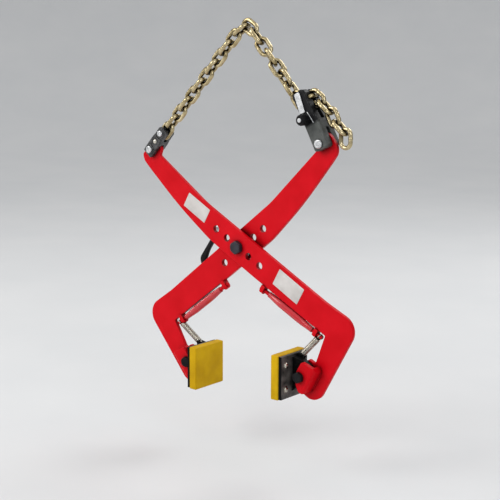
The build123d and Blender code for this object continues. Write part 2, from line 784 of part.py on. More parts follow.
# Open-hold hook on its stud, with a stop peg, and the catch pin on the rear arm
stud_point = inside(FRONT, HOOK_U, HOOK_V)
catch_point = inside(REAR, CATCH_U, CATCH_V)
reach = Vector(catch_point.X - stud_point.X, 0, catch_point.Z - stud_point.Z)
throat = reach.length + CATCH_D / 2 + HOOK_PLAY
hook_base = Plane(origin=(stud_point.X, HOOK_FACE, stud_point.Z), x_dir=reach, z_dir=(0, 1, 0))
prong = 11.0
with BuildPart() as hold_hook:
    with BuildSketch(hook_base):
        Circle(12.5)
        with BuildLine():
            tip_in = (throat, -9)
            root_in = (throat, 12)
            Line(tip_in, root_in)
            FilletPolyline(root_in, (throat - 4, 20), (50, 19.5), (4, -7), radius=[4, 12])
            Line((4, -7), (-21, -5))
            Line((-21, -5), (-21, 6))
            FilletPolyline(
                (-21, 6), (0, 10), (46, 31), (72, 33.5), (throat + prong + 1, 17),
                (throat + prong - 1, -9), tip_in, radius=[20, 14, 14, 16, 0],
            )
        make_face()
        Circle(STUD_D / 2 + FIT, mode=Mode.SUBTRACT)
    extrude(amount=HOOK)
hold_hook.part.label = "hold_hook"
export_step(hold_hook.part, "parts/hold_hook.step")

stud_plane = Plane(origin=(stud_point.X, PLATE / 2 - PLATE_MID, stud_point.Z), x_dir=(1, 0, 0), z_dir=(0, 1, 0))
with BuildPart() as hook_stud:
    with BuildSketch(stud_plane):
        Circle(8)
    extrude(amount=HOOK_FACE - GAP - stud_plane.origin.Y)
    with BuildSketch(stud_plane):
        Circle(STUD_D / 2)
    extrude(amount=HOOK_FACE + HOOK + 6 - stud_plane.origin.Y)
    with BuildSketch(stud_plane.offset(HOOK_FACE + HOOK + GAP - stud_plane.origin.Y)):
        RegularPolygon(8.5, 6, major_radius=False)
    extrude(amount=5)
hook_stud.part.label = "hook_stud"
export_step(hook_stud.part, "parts/hook_stud.step")

peg_spot = inside(hook_base, -17, 11.2)
with BuildPart() as hook_peg:
    with BuildSketch(Plane(origin=(peg_spot.X, PLATE / 2 - PLATE_MID, peg_spot.Z), z_dir=(0, 1, 0))):
        Circle(3.5)
    extrude(amount=HOOK_FACE + HOOK - stud_plane.origin.Y)
hook_peg.part.label = "hook_peg"
export_step(hook_peg.part, "parts/hook_peg.step")

with BuildPart() as catch_pin:
    with BuildSketch(REAR.offset(PLATE / 2)):
        with Locations((CATCH_U, CATCH_V)):
            Circle(CATCH_D / 2)
    extrude(amount=HOOK_FACE + HOOK + 3.5 - PLATE_MID - PLATE / 2)
    chamfer(catch_pin.faces().sort_by(Axis.Y)[-1].edges(), 1.2)
catch_pin.part.label = "catch_pin"
export_step(catch_pin.part, "parts/catch_pin.step")

print("pivot", pivot, "left pin", pin_left, "right pin", pin_right)
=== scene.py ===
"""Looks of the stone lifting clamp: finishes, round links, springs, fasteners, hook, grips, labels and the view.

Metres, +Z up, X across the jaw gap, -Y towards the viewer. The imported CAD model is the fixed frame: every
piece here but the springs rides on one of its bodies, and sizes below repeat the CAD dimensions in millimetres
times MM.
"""

import json
import logging
from dataclasses import dataclass, replace
from enum import Enum
from math import cos, pi, radians, sin

import bmesh
import bpy
import numpy as np
from mathutils import Matrix, Vector

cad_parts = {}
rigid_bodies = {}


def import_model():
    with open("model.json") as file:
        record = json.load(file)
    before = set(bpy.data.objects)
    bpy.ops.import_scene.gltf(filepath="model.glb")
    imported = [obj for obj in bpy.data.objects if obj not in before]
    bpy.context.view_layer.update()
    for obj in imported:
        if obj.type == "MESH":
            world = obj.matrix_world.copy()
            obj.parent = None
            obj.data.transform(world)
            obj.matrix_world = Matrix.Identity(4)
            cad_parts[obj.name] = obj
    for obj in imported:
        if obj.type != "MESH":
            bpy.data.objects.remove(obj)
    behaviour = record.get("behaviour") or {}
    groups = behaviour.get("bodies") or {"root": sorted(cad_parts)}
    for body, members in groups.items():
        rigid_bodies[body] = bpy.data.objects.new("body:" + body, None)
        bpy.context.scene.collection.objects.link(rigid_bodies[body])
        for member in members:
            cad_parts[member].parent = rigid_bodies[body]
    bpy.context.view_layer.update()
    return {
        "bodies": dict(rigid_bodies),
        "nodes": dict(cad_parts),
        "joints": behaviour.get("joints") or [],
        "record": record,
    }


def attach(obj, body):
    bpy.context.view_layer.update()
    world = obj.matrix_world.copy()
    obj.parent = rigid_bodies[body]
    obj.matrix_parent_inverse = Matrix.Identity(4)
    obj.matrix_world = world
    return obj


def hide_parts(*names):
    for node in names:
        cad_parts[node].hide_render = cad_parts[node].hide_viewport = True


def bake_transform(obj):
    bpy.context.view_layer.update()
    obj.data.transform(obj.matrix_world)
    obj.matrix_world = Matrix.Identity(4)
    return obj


logging.basicConfig(level=logging.INFO, format="%(name)s %(message)s")
LOG = logging.getLogger("clamp")

MM = 0.001
MERGE = 0.002 * MM
LEAST_SQUARE = 0.05
UP = np.array((0.0, 0.0, 1.0))
AWAY = np.array((0.0, 1.0, 0.0))
NO_DEPTH = np.array((1.0, 0.0, 1.0))
Array = np.ndarray
Pair = tuple[float, float]
Triple = tuple[float, float, float]
Socket = bpy.types.NodeSocket
Inputs = dict[str | int, Socket | float | tuple[float, ...]]


class Slot(Enum):
    """Material slots of the record."""

    RED_PAINT = "red_paint"
    BLACK_STEEL = "black_steel"
    BRIGHT_ZINC = "bright_zinc"
    CHAIN_ZINC = "chain_zinc"
    YELLOW_PAD = "yellow_pad"
    RED_PLASTIC = "red_plastic"
    GREY_FORGING = "grey_forging"


class Side(Enum):
    """The two arms, each with its jaw."""

    FRONT = "front"
    REAR = "rear"


def unit(vector: Array) -> Array:
    """Vectors along the last axis, each divided by its length."""
    return vector / np.linalg.norm(vector, axis=-1, keepdims=True)


def heading(angle: float) -> Array:
    """Unit vector in the X-Z plane, so many degrees above +X."""
    return np.array((cos(radians(angle)), 0.0, sin(radians(angle))))


def turned(vector: Array, axis: Array, angle: float) -> Array:
    """Vector turned about an axis by the right-hand rule.

    Args:
        vector: the vector.
        axis: unit vector of the axis through the origin.
        angle: degrees.

    Returns:
        The turned vector.
    """
    swing = radians(angle)
    level = axis * (vector @ axis)
    return level + (vector - level) * cos(swing) + np.cross(axis, vector) * sin(swing)


def circle(steps: int) -> Array:
    """Angles in even steps round a circle."""
    return np.linspace(0.0, 2 * pi, steps, endpoint=False)


def around(radius: Array, angle: Array, height: Array) -> Array:
    """Points about z: radius times cosine, radius times sine, and the height."""
    return np.stack((radius * np.cos(angle), radius * np.sin(angle), height + 0 * angle), axis=-1)


def profile(*rows: Pair) -> Array:
    """Profile of radius and height in millimetres, as an array in metres."""
    return np.array(rows) * MM


def dome(middle: Pair, size: Pair, stop: float, steps: int) -> Array:
    """Profile of part of an ellipse, from its side up to an angle.

    Args:
        middle: radius and height of the ellipse's middle, millimetres.
        size: its half axes, millimetres.
        stop: last angle above the side, degrees.
        steps: points.

    Returns:
        steps x 2 radius and height, in metres.
    """
    angle = np.radians(np.linspace(0.0, stop, steps))
    return (np.array(middle) + np.array(size) * np.stack((np.cos(angle), np.sin(angle)), axis=-1)) * MM


def drawn_in(share: Array, power: int) -> Array:
    """Thickness along a bar: the root of one less a power of the distance from its middle, not below a least."""
    return np.sqrt(np.clip(1 - (2 * share - 1) ** power, LEAST_SQUARE, 1.0))


@dataclass(frozen=True)
class Place:
    """A right-handed set of directions at a point."""

    origin: Array
    x: Array
    y: Array
    z: Array

    @classmethod
    def on(cls, origin: Array, x: Array, z: Array) -> "Place":
        """Place from its point, its normal and a direction to level into x.

        Args:
            origin: the point.
            x: rough x direction.
            z: the normal.

        Returns:
            The place.
        """
        normal = unit(z)
        along = unit(x - normal * (x @ normal))
        return cls(origin, along, np.cross(normal, along), normal)

    def world(self, local: Array) -> Array:
        """World points of an array of local ones, whose last axis is x, y, z."""
        return self.origin + local[..., 0:1] * self.x + local[..., 1:2] * self.y + local[..., 2:3] * self.z

    def point(self, x: float, y: float, z: float = 0.0) -> Array:
        """World point of one local point."""
        return self.world(np.array((x, y, z)))

    def at(self, x: float, y: float, z: float = 0.0) -> "Place":
        """The same directions at another local point."""
        return Place(self.point(x, y, z), self.x, self.y, self.z)

    def flipped(self) -> "Place":
        """The same spot, turned half round about x."""
        return Place(self.origin, self.x, -self.y, -self.z)


@dataclass(frozen=True)
class Chain:
    """Round-link chain, 8 x 24, with a weld half way along one side of each link."""

    wire: float = 8.0 * MM
    pitch: float = 24.0 * MM
    play: float = 0.6 * MM
    width: float = 12.0 * MM
    weld_run: float = 2.0 * MM
    bulge: float = 0.07
    neck: float = 0.05
    neck_spot: float = 1.9
    neck_sharp: float = 3.0
    stations: int = 72
    sides: int = 18

    @property
    def crown(self) -> float:
        """Radius of the crown's centre line."""
        return (self.width + self.wire) / 2

    @property
    def reach(self) -> float:
        """From the link's middle to the wire's centre at its end."""
        return (self.pitch + self.play + self.wire) / 2

    @property
    def straight(self) -> float:
        """Half the straight side."""
        return self.reach - self.crown

    @property
    def wire_step(self) -> float:
        """Between wire centres of two links that hang in each other."""
        return self.wire + self.play

    @property
    def hang_step(self) -> float:
        """From a wire's centre to the middle of the link that hangs on it."""
        return self.reach - self.wire_step

    @property
    def crown_step(self) -> float:
        """From a crown's centre to the middle of the link that hangs in it."""
        return self.reach + self.crown - self.wire_step

    def place(self, centre: Array, direction: Array, twist: float) -> Place:
        """Place of a link.

        Args:
            centre: its middle.
            direction: its length.
            twist: degrees about the length, from lying in the X-Z plane.

        Returns:
            The place, x along the link and z across its flat.
        """
        along = unit(direction)
        flat = unit(AWAY - along * along[1])
        return Place.on(centre, along, turned(flat, along, twist))

    def link(self, place: Place) -> Array:
        """Surface of one link.

        The centre line is two straights and two half circles: the direction outwards and the centre of
        curvature both run evenly along it. The wire swells by a bell curve where it is welded, with a slight
        neck, a narrower bell, on either side.

        Args:
            place: where the link lies.

        Returns:
            stations x sides x 3 world points, closed both ways.
        """
        arc = pi * self.crown
        knots = np.cumsum((0.0, self.straight, arc, 2 * self.straight, arc, self.straight))
        run = np.linspace(0.0, knots[-1], self.stations, endpoint=False)
        out = np.radians(np.interp(run, knots, (-90.0, -90.0, 90.0, 90.0, 270.0, 270.0)))[:, None]
        middle = np.interp(run, knots, (0, self.straight, self.straight, -self.straight, -self.straight, 0))
        weld = np.minimum(run, knots[-1] - run) / self.weld_run
        necked = self.neck * np.exp(-((weld - self.neck_spot) ** 2) * self.neck_sharp)
        thick = (self.wire / 2 * (1 + self.bulge * np.exp(-weld**2) - necked))[:, None]
        section = circle(self.sides)
        radius = self.crown + thick * np.cos(section)
        x = middle[:, None] + radius * np.cos(out)
        return place.world(np.stack((x, radius * np.sin(out), thick * np.sin(section)), axis=-1))


@dataclass(frozen=True)
class Arm:
    """One arm plate's own directions: x along its row of holes, y to the outer edge, z outwards."""

    side: Side
    place: Place
    gap_way: Array
    jaw_spot: Pair = (248.5 * MM, -109.5 * MM)
    hub_middle: float = 11.0 * MM
    rod_spot: Pair = (104.0 * MM, -34.2 * MM)
    rod_slope: float = 1.55

    def named(self, piece: str) -> str:
        """Name of one of the arm's own pieces, nodes or bodies."""
        return f"{self.side.value}_{piece}"

    @property
    def body(self) -> str:
        """CAD body of the arm."""
        return self.named("arm_body")

    @property
    def jaw_body(self) -> str:
        """CAD body of its jaw."""
        return self.named("jaw")

    @property
    def face(self) -> float:
        """Which way along z the plate looks at the viewer."""
        return -float(self.place.z @ AWAY)

    @property
    def jaw(self) -> Place:
        """Jaw bolt at the middle of the hub: x to the jaw gap, z up."""
        return Place.on(self.bolt(self.hub_middle).origin, self.gap_way, UP)

    def bolt(self, height: float) -> Place:
        """Spot on the jaw bolt's axis, so far from the middle of the plate to the viewer, with z that way."""
        spot = self.place.point(*self.jaw_spot, self.face * height)
        return Place.on(spot, self.place.x, -AWAY)

    @property
    def run(self) -> Place:
        """Sleeve rod.

        Returns:
            Its place, z along it from the sleeve's upper end, x towards the plate.
        """
        slope = radians(self.rod_slope)
        start = self.place.at(*self.rod_spot)
        along = start.x * cos(slope) + start.y * sin(slope)
        return Place.on(start.origin, start.y * cos(slope) - start.x * sin(slope), along)


class Clamp:
    """The clamp's places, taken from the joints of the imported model.

    Tilts, leans, headings and twists are in degrees; a twist is about a link's own length.
    """

    LEAN = 5.0
    SPREAD = 34.0
    PLATE_MIDDLE = 9.0 * MM
    SADDLE_TILT = 34.0
    SADDLE_TWISTS = (90.0, 174.0)
    CREST = np.array((8.0 * MM, 0.0, 14.0 * MM))
    LEFT_LINKS = 11
    CHAIN_PIN = 44.0 * MM
    PIN_SEAT = 5.3 * MM
    RIGHT_LINKS = 7
    SLOT_SEAT = 94.0 * MM
    FIRST_TWIST = 5.0
    LAST_TWIST = 462.0
    SHORTENER_LEAN = 10.4
    POCKET = (0.6 * MM, 85.0 * MM)
    TAIL_HEADINGS = (-33.0, -40.0, -62.0, -42.0)

    def __init__(self, frame: dict) -> None:
        """Reads the joints' points and lays out the arms, the saddle and the forks.
        """
        spots = {joint["name"]: np.array(joint["pos_m"]) for joint in frame["joints"] if joint["type"] == "hinge"}
        self.chain = chain = Chain()
        self.pivot = spots["scissor"]
        self.pin_left = spots["front_arm_swing"]
        self.pin_right = spots["right_leg_swing"]
        self.stud = spots["open_hold_swing"]
        plate = AWAY * self.PLATE_MIDDLE
        front = Place.on(self.pivot - plate, heading(self.LEAN - self.SPREAD), -AWAY)
        rear = Place.on(self.pivot + plate, heading(180 + self.LEAN + self.SPREAD), AWAY)
        self.arms = (
            Arm(Side.FRONT, front, np.array((-1.0, 0.0, 0.0))),
            Arm(Side.REAR, rear, np.array((1.0, 0.0, 0.0))),
        )
        self.saddle_left = heading(self.SADDLE_TILT)
        self.saddle_right = heading(-self.SADDLE_TILT)
        crest = self.CREST - self.saddle_right * (chain.crown - chain.wire_step)
        self.first_saddle = crest - self.saddle_left * chain.reach
        self.second_saddle = crest + self.saddle_right * chain.hang_step
        self.wire_left = self.first_saddle - self.saddle_left * chain.reach
        self.crown_right = self.second_saddle + self.saddle_right * chain.straight
        left_up = unit(self.wire_left - self.pin_left * NO_DEPTH)
        self.right_up = unit(self.crown_right - self.pin_right * NO_DEPTH)
        self.clevis = Place.on(self.pin_left, turned(left_up, AWAY, 90), -AWAY)
        body_up = turned(self.right_up, AWAY, self.SHORTENER_LEAN)
        self.shortener = Place.on(self.pin_right, turned(body_up, AWAY, 90), -AWAY)

    def saddle_places(self) -> list[Place]:
        """Lays out the two saddle links.

        Returns:
            Their places, the left one first.
        """
        first, second = self.SADDLE_TWISTS
        return [
            self.chain.place(self.first_saddle, self.saddle_left, first),
            self.chain.place(self.second_saddle, self.saddle_right, second),
        ]

    def left_places(self) -> list[Place]:
        """Lays out the left leg's links in even steps, every other one turned square.

        Returns:
            Their places, from the chain pin up.
        """
        chain = self.chain
        pin = self.clevis.point(0.0, self.CHAIN_PIN)
        way = unit(self.wire_left - pin)
        start = (chain.pitch + chain.play) / 2 - self.PIN_SEAT
        return [
            chain.place(pin + way * (start + index * chain.pitch), way, 90 * (index % 2))
            for index in range(self.LEFT_LINKS)
        ]

    def right_places(self) -> list[Place]:
        """Lays out the right leg's links in even steps, with an even twist along the strand.

        Returns:
            Their places, from the shortener's slot up.
        """
        chain = self.chain
        seat = self.pin_right + self.right_up * self.SLOT_SEAT
        way = unit(self.crown_right - seat)
        twist = (self.LAST_TWIST - self.FIRST_TWIST) / (self.RIGHT_LINKS - 1)
        first = chain.place(seat, self.right_up + way, 0)
        others = [
            chain.place(seat + way * index * chain.pitch, way, self.FIRST_TWIST + index * twist)
            for index in range(1, self.RIGHT_LINKS)
        ]
        return [first, *others]

    def spare_places(self) -> tuple[list[Place], list[Place]]:
        """Lays out the spare tail: the link in the pocket, the leaning ones and the hanging one.

        A link hangs by turns from the last one's wire and in its crown.

        Returns:
            Places of the pocket's link and the leaning ones, and of the hanging one.
        """
        chain = self.chain
        middle = self.shortener.point(*self.POCKET)
        way = self.shortener.x
        leaning = [chain.place(middle, way, 90)]
        for index, angle in enumerate(self.TAIL_HEADINGS):
            after = heading(angle)
            if index % 2:
                middle = middle + way * chain.straight + after * chain.crown_step
            else:
                middle = middle + way * chain.reach + after * chain.hang_step
            way = after
            leaning.append(chain.place(middle, way, 90 * (index % 2)))
        hinge = middle + way * chain.reach
        return leaning, [chain.place(hinge - UP * chain.hang_step, -UP, 0)]


class NodeTree:
    """Nodes of a material or world, with the few steps that the finishes are made of."""

    def __init__(self, owner: bpy.types.Material | bpy.types.World, space: str = "Object") -> None:
        """Clears the nodes and takes the coordinates.

        Args:
            owner: what the nodes belong to.
            space: which of the texture coordinates.
        """
        owner.use_nodes = True
        self.tree = owner.node_tree
        self.tree.nodes.clear()
        self.space = self.node("TexCoord").outputs[space]

    def node(self, kind: str, inputs: Inputs | None = None, **settings: str | int) -> bpy.types.Node:
        """Adds a node.

        Args:
            kind: its type, without the ShaderNode that begins each.
            inputs: value or source of each input, by name or number.
            settings: its own settings.

        Returns:
            The node.
        """
        node = self.tree.nodes.new("ShaderNode" + kind)
        for name, value in settings.items():
            setattr(node, name, value)
        for key, value in (inputs or {}).items():
            if isinstance(value, Socket):
                self.tree.links.new(value, node.inputs[key])
            else:
                node.inputs[key].default_value = value
        return node

    def noise(self, scale: float, detail: float) -> Socket:
        """Noise of a scale and detail in the tree's coordinates."""
        return self.node("TexNoise", {"Scale": scale, "Detail": detail, "Vector": self.space}).outputs["Fac"]

    def span(self, source: Socket, given: Pair, wanted: Pair) -> Socket:
        """Moves a value from one range to another and holds it there.

        Args:
            source: the value.
            given: its range.
            wanted: the range that it is moved to.

        Returns:
            The moved value.
        """
        ends = {"From Min": given[0], "From Max": given[1], "To Min": wanted[0], "To Max": wanted[1]}
        return self.node("MapRange", {"Value": source, **ends}).outputs["Result"]

    def ramp(self, source: Socket, *stops: tuple[float, Triple]) -> Socket:
        """Runs a value through colours.

        Args:
            source: the value.
            stops: two or more places and their colours, from low to high.

        Returns:
            The colour.
        """
        node = self.node("ValToRGB", {"Fac": source})
        elements = node.color_ramp.elements
        for spot, colour in stops[1:-1]:
            elements.new(spot).color = (*colour, 1.0)
        for element, (spot, colour) in ((elements[0], stops[0]), (elements[-1], stops[-1])):
            element.position = spot
            element.color = (*colour, 1.0)
        return node.outputs["Color"]

    def mixed(self, share: Socket, first: Socket, second: Triple) -> Socket:
        """Mixes a colour over another, by a share."""
        return self.node("Mix", {0: share, 6: first, 7: (*second, 1.0)}, data_type="RGBA").outputs[2]

    def dot(self, first: Socket, second: Socket | Triple) -> Socket:
        """Dot product of two vectors."""
        return self.node("VectorMath", {0: first, 1: second}, operation="DOT_PRODUCT").outputs["Value"]

    def math(self, operation: str, first: Socket, second: Socket | float) -> Socket:
        """One step of arithmetic with two values."""
        return self.node("Math", {0: first, 1: second}, operation=operation).outputs["Value"]


@dataclass(frozen=True)
class Tone:
    """Second colour and specular level of a piece beyond any of some planes, each a normal and a level."""

    colour: Triple
    planes: tuple[tuple[Triple, float], ...]
    blur: float
    specular: float

    def share(self, tree: NodeTree) -> Socket:
        """Finds how much of the tone there is at a point: the greatest of its planes' shares.

        Args:
            tree: nodes of the material.

        Returns:
            The share, from 0 to 1.
        """
        share: Socket | float = 0.0
        for normal, level in self.planes:
            beyond = tree.span(tree.dot(tree.space, normal), (level - self.blur, level + self.blur), (0.0, 1.0))
            share = tree.math("MAXIMUM", beyond, share)
        return share


@dataclass(frozen=True)
class Dress:
    """A finish made into a material, and the record's slot that it belongs to."""

    material: bpy.types.Material
    slot: Slot


@dataclass(frozen=True)
class Finish:
    """Procedural finish in object coordinates, with no image.

    A slow noise runs between two colours, a finer one moves the roughness, and a grain raises the surface.
    Edges found by the Bevel node turn towards an edge colour in broken patches: wear on most finishes, partly a
    painted highlight on some and painted shade on the jaw brackets. Crevices within reach of other surfaces darken
    as painted shade. A tone, where there is one, takes over beyond its planes.
    """

    slot: Slot
    dark: Triple
    light: Triple
    # Colour that edges turn to: wear on most finishes, a painted highlight on some and painted shade on the jaw
    # brackets.
    edge_wear_and_painted_light: Triple
    roughness: Pair
    cloud: float
    grain: float
    relief: float
    edge_share: float
    edge: float
    metallic: float = 0.0
    coat: float = 0.0
    specular: float = 0.5
    # Share of painted shade where other surfaces are near, and how far the occlusion looks for them.
    crevice_shade: float = 0.55
    reach: float = 7.0 * MM
    tone: Tone | None = None

    CLOUD = (0.32, 0.68)
    EDGE = (0.995, 0.86)
    PATCH = (0.44, 0.62)
    CREVICE = (0.92, 0.42)
    ROUGH = (0.3, 0.7)
    PATCH_SCALE = 5.0
    ROUGH_SCALE = 2.7
    SHADE_DARKNESS = 0.10
    BUMP = 0.6
    COAT_ROUGHNESS = 0.12
    SAMPLES = 6
    CLOUD_DETAIL = 6.0
    PATCH_DETAIL = 4.0
    ROUGH_DETAIL = 5.0
    GRAIN_DETAIL = 3.0

    def make(self, name: str) -> Dress:
        """Builds the material.

        Args:
            name: name of the finish.

        Returns:
            The material with its slot.
        """
        material = bpy.data.materials.new("finish_" + name)
        tree = NodeTree(material)
        clouds = tree.noise(self.cloud, self.CLOUD_DETAIL)
        base = tree.ramp(clouds, (self.CLOUD[0], self.dark), (self.CLOUD[1], self.light))
        shine: Socket | float = self.specular
        if self.tone:
            beyond = self.tone.share(tree)
            base = tree.mixed(beyond, base, self.tone.colour)
            shine = tree.span(beyond, (0.0, 1.0), (self.specular, self.tone.specular))
        rounded = tree.node("Bevel", {"Radius": self.edge}, samples=self.SAMPLES).outputs["Normal"]
        facing = tree.dot(rounded, tree.node("NewGeometry").outputs["Normal"])
        edge = tree.span(facing, self.EDGE, (0.0, self.edge_share))
        patches = tree.noise(self.cloud * self.PATCH_SCALE, self.PATCH_DETAIL)
        patch = tree.span(patches, self.PATCH, (0.0, 1.0))
        # Edge colour in broken patches: real wear on most finishes, partly a painted highlight on the red paint and
        # black steels, painted shade on the jaw brackets.
        edge_marked = tree.mixed(tree.math("MULTIPLY", edge, patch), base, self.edge_wear_and_painted_light)
        # Painted shade: the colour darkens towards a dark copy of itself where the occlusion node finds other
        # surfaces near, in holes, crevices and between parts.
        shelter = tree.node("AmbientOcclusion", {"Distance": self.reach}, samples=self.SAMPLES).outputs["AO"]
        shade_share = tree.span(shelter, self.CREVICE, (0.0, self.crevice_shade))
        shade_colour = tuple(self.SHADE_DARKNESS * channel for channel in self.dark)
        grain = tree.noise(self.grain, self.GRAIN_DETAIL)
        bump = tree.node("Bump", {
            "Strength": self.BUMP, "Distance": self.relief, "Height": grain, "Normal": rounded,
        })
        rough = tree.noise(self.cloud * self.ROUGH_SCALE, self.ROUGH_DETAIL)
        shader = tree.node("BsdfPrincipled", {
            "Base Color": tree.mixed(shade_share, edge_marked, shade_colour),
            "Roughness": tree.span(rough, self.ROUGH, self.roughness),
            "Metallic": self.metallic,
            "Specular IOR Level": shine,
            "Coat Weight": self.coat,
            "Coat Roughness": self.COAT_ROUGHNESS,
            "Normal": bump.outputs["Normal"],
        })
        if self.tone:
            shader.inputs["Specular IOR Level"].default_value = self.specular
        tree.node("OutputMaterial", {"Surface": shader.outputs["BSDF"]})
        return Dress(material, self.slot)


FINISHES: dict[Slot, Finish] = {finish.slot: finish for finish in (
    # Red paint: its paler pink edge colour is partly wear and partly a painted highlight along the plate edges; its
    # crevice darkening is painted shade in holes and corners.
    Finish(
        Slot.RED_PAINT, dark=(0.53, 0.002, 0.007), light=(0.61, 0.004, 0.011), edge_wear_and_painted_light=(0.62, 0.08, 0.085),
        roughness=(0.30, 0.42), cloud=22.0, grain=420.0, relief=0.08 * MM, edge_share=0.5, edge=0.7 * MM,
        specular=0.06, crevice_shade=0.95, reach=15.0 * MM,
    ),
    # Black steel: its grey edge colour is partly wear and partly a painted highlight on the edges.
    Finish(
        Slot.BLACK_STEEL, dark=(0.004, 0.004, 0.005), light=(0.013, 0.013, 0.014), edge_wear_and_painted_light=(0.13, 0.125, 0.12),
        roughness=(0.30, 0.46), cloud=40.0, grain=520.0, relief=0.10 * MM, edge_share=0.6, edge=0.7 * MM,
        specular=0.09,
    ),
    Finish(
        Slot.BRIGHT_ZINC, dark=(0.40, 0.41, 0.42), light=(0.66, 0.67, 0.68), edge_wear_and_painted_light=(0.80, 0.80, 0.80),
        roughness=(0.22, 0.38), cloud=90.0, grain=700.0, relief=0.04 * MM, edge_share=0.5, edge=0.4 * MM,
        metallic=1.0,
    ),
    Finish(
        Slot.CHAIN_ZINC, dark=(0.31, 0.24, 0.115), light=(0.62, 0.52, 0.315), edge_wear_and_painted_light=(0.80, 0.75, 0.60),
        roughness=(0.10, 0.20), cloud=60.0, grain=420.0, relief=0.04 * MM, edge_share=0.5, edge=0.5 * MM,
        metallic=1.0, crevice_shade=0.97, reach=12.0 * MM,
    ),
    Finish(
        Slot.YELLOW_PAD, dark=(0.47, 0.27, 0.002), light=(0.60, 0.365, 0.004), edge_wear_and_painted_light=(0.32, 0.20, 0.01),
        roughness=(0.42, 0.60), cloud=30.0, grain=600.0, relief=0.10 * MM, edge_share=0.5, edge=1.2 * MM,
        specular=0.08,
    ),
    Finish(
        Slot.RED_PLASTIC, dark=(0.44, 0.010, 0.018), light=(0.56, 0.016, 0.026), edge_wear_and_painted_light=(0.40, 0.05, 0.05),
        roughness=(0.14, 0.22), cloud=35.0, grain=500.0, relief=0.04 * MM, edge_share=0.4, edge=0.6 * MM,
        coat=0.5, specular=0.4,
    ),
    Finish(
        Slot.GREY_FORGING, dark=(0.035, 0.038, 0.036), light=(0.095, 0.101, 0.096), edge_wear_and_painted_light=(0.24, 0.24, 0.23),
        roughness=(0.34, 0.50), cloud=45.0, grain=260.0, relief=0.25 * MM, edge_share=0.7, edge=1.2 * MM,
        specular=0.20,
    ),
)}

LABEL_FINISH = Finish(
    Slot.BRIGHT_ZINC, dark=(0.50, 0.475, 0.455), light=(0.62, 0.595, 0.575), edge_wear_and_painted_light=(0.45, 0.40, 0.37),
    roughness=(0.34, 0.46), cloud=45.0, grain=700.0, relief=0.03 * MM, edge_share=0.4, edge=0.4 * MM, specular=0.3,
)

# Jaw bracket: its near-black edge colour is painted shade on the plate's edges.
BRACKET_FINISH = Finish(
    Slot.BLACK_STEEL, dark=(0.014, 0.013, 0.012), light=(0.124, 0.112, 0.103), edge_wear_and_painted_light=(0.006, 0.006, 0.006),
    roughness=(0.34, 0.54), cloud=60.0, grain=520.0, relief=0.12 * MM, edge_share=0.95, edge=2.0 * MM,
    specular=0.25, crevice_shade=0.92, reach=12.0 * MM,
)

# Left clevis: its light grey edge colour is partly wear and partly a painted highlight on the edges and groove.
FORGED_BLACK = Finish(
    Slot.BLACK_STEEL, dark=(0.004, 0.004, 0.005), light=(0.060, 0.060, 0.062), edge_wear_and_painted_light=(0.30, 0.30, 0.30),
    roughness=(0.10, 0.24), cloud=110.0, grain=300.0, relief=0.50 * MM, edge_share=0.9, edge=1.6 * MM,
    specular=0.34, crevice_shade=0.95, reach=6.0 * MM,
)

BOLT_FINISH = Finish(
    Slot.BLACK_STEEL, dark=(0.014, 0.013, 0.018), light=(0.036, 0.034, 0.044), edge_wear_and_painted_light=(0.14, 0.14, 0.15),
    roughness=(0.28, 0.42), cloud=60.0, grain=520.0, relief=0.10 * MM, edge_share=0.7, edge=1.2 * MM, specular=0.18,
)

SPRING_FINISH = Finish(
    Slot.BRIGHT_ZINC, dark=(0.40, 0.37, 0.31), light=(0.66, 0.62, 0.54), edge_wear_and_painted_light=(0.80, 0.77, 0.70),
    roughness=(0.16, 0.30), cloud=55.0, grain=700.0, relief=0.03 * MM, edge_share=0.4, edge=0.3 * MM,
    metallic=1.0, crevice_shade=0.7, reach=2.5 * MM,
)


class Finishes:
    """The materials, one for each slot and for some nodes of their own, made once."""

    SHORTENER_BLACK = (0.006, 0.006, 0.007)
    SHORTENER_LEVEL = 37.0 * MM
    # Painted shade on the jaw brackets: near black on the rim that faces the viewer and behind the plate's back
    # face, round the hub.
    BRACKET_SHADE = (0.005, 0.005, 0.005)
    BRACKET_RIM = 38.2 * MM
    BRACKET_HUB = 21.8 * MM

    def __init__(self, clamp: Clamp) -> None:
        """Makes the materials.

        Args:
            clamp: the clamp's places, for the second tone of the shortener and the painted shade on the jaw
                brackets.
        """
        self.by_slot = {slot: finish.make(slot.value) for slot, finish in FINISHES.items()}
        self.label = LABEL_FINISH.make("label")
        self.spring = SPRING_FINISH.make("spring")
        self.bolt = BOLT_FINISH.make("pivot_bolt")
        up = clamp.shortener.y
        level = float(clamp.shortener.point(0.0, self.SHORTENER_LEVEL) @ up)
        tone = Tone(self.SHORTENER_BLACK, ((tuple(up), level),), blur=3.0 * MM, specular=0.16)
        shortener = replace(FINISHES[Slot.GREY_FORGING], tone=tone).make("shortener")
        self.by_node = {"left_clevis": FORGED_BLACK.make("forged_black"), "shortener_body": shortener}
        # Painted shade on each jaw bracket, near black beyond its rim and hub planes.
        for arm in clamp.arms:
            rim = self.BRACKET_RIM - float(arm.jaw.origin @ AWAY)
            hub = -float(arm.jaw.point(self.BRACKET_HUB, 0.0) @ arm.jaw.x)
            planes = ((tuple(-AWAY), rim), (tuple(-arm.jaw.x), hub))
            name = arm.named("jaw_bracket")
            tone = Tone(self.BRACKET_SHADE, planes, blur=0.5 * MM, specular=0.05)
            self.by_node[name] = replace(BRACKET_FINISH, tone=tone).make(name)

    def dress(self, frame: dict) -> None:
        """Gives every CAD node its own material, or that of its slot in the record.
        """
        for part in frame["record"]["subparts"]:
            dress = self.by_node.get(part["node"], self.by_slot[Slot(part["material_slot"])])
            mesh = frame["nodes"][part["node"]].data
            mesh.materials.clear()
            mesh.materials.append(dress.material)
            LOG.info("node %s: %s", part["node"], part["material_slot"])


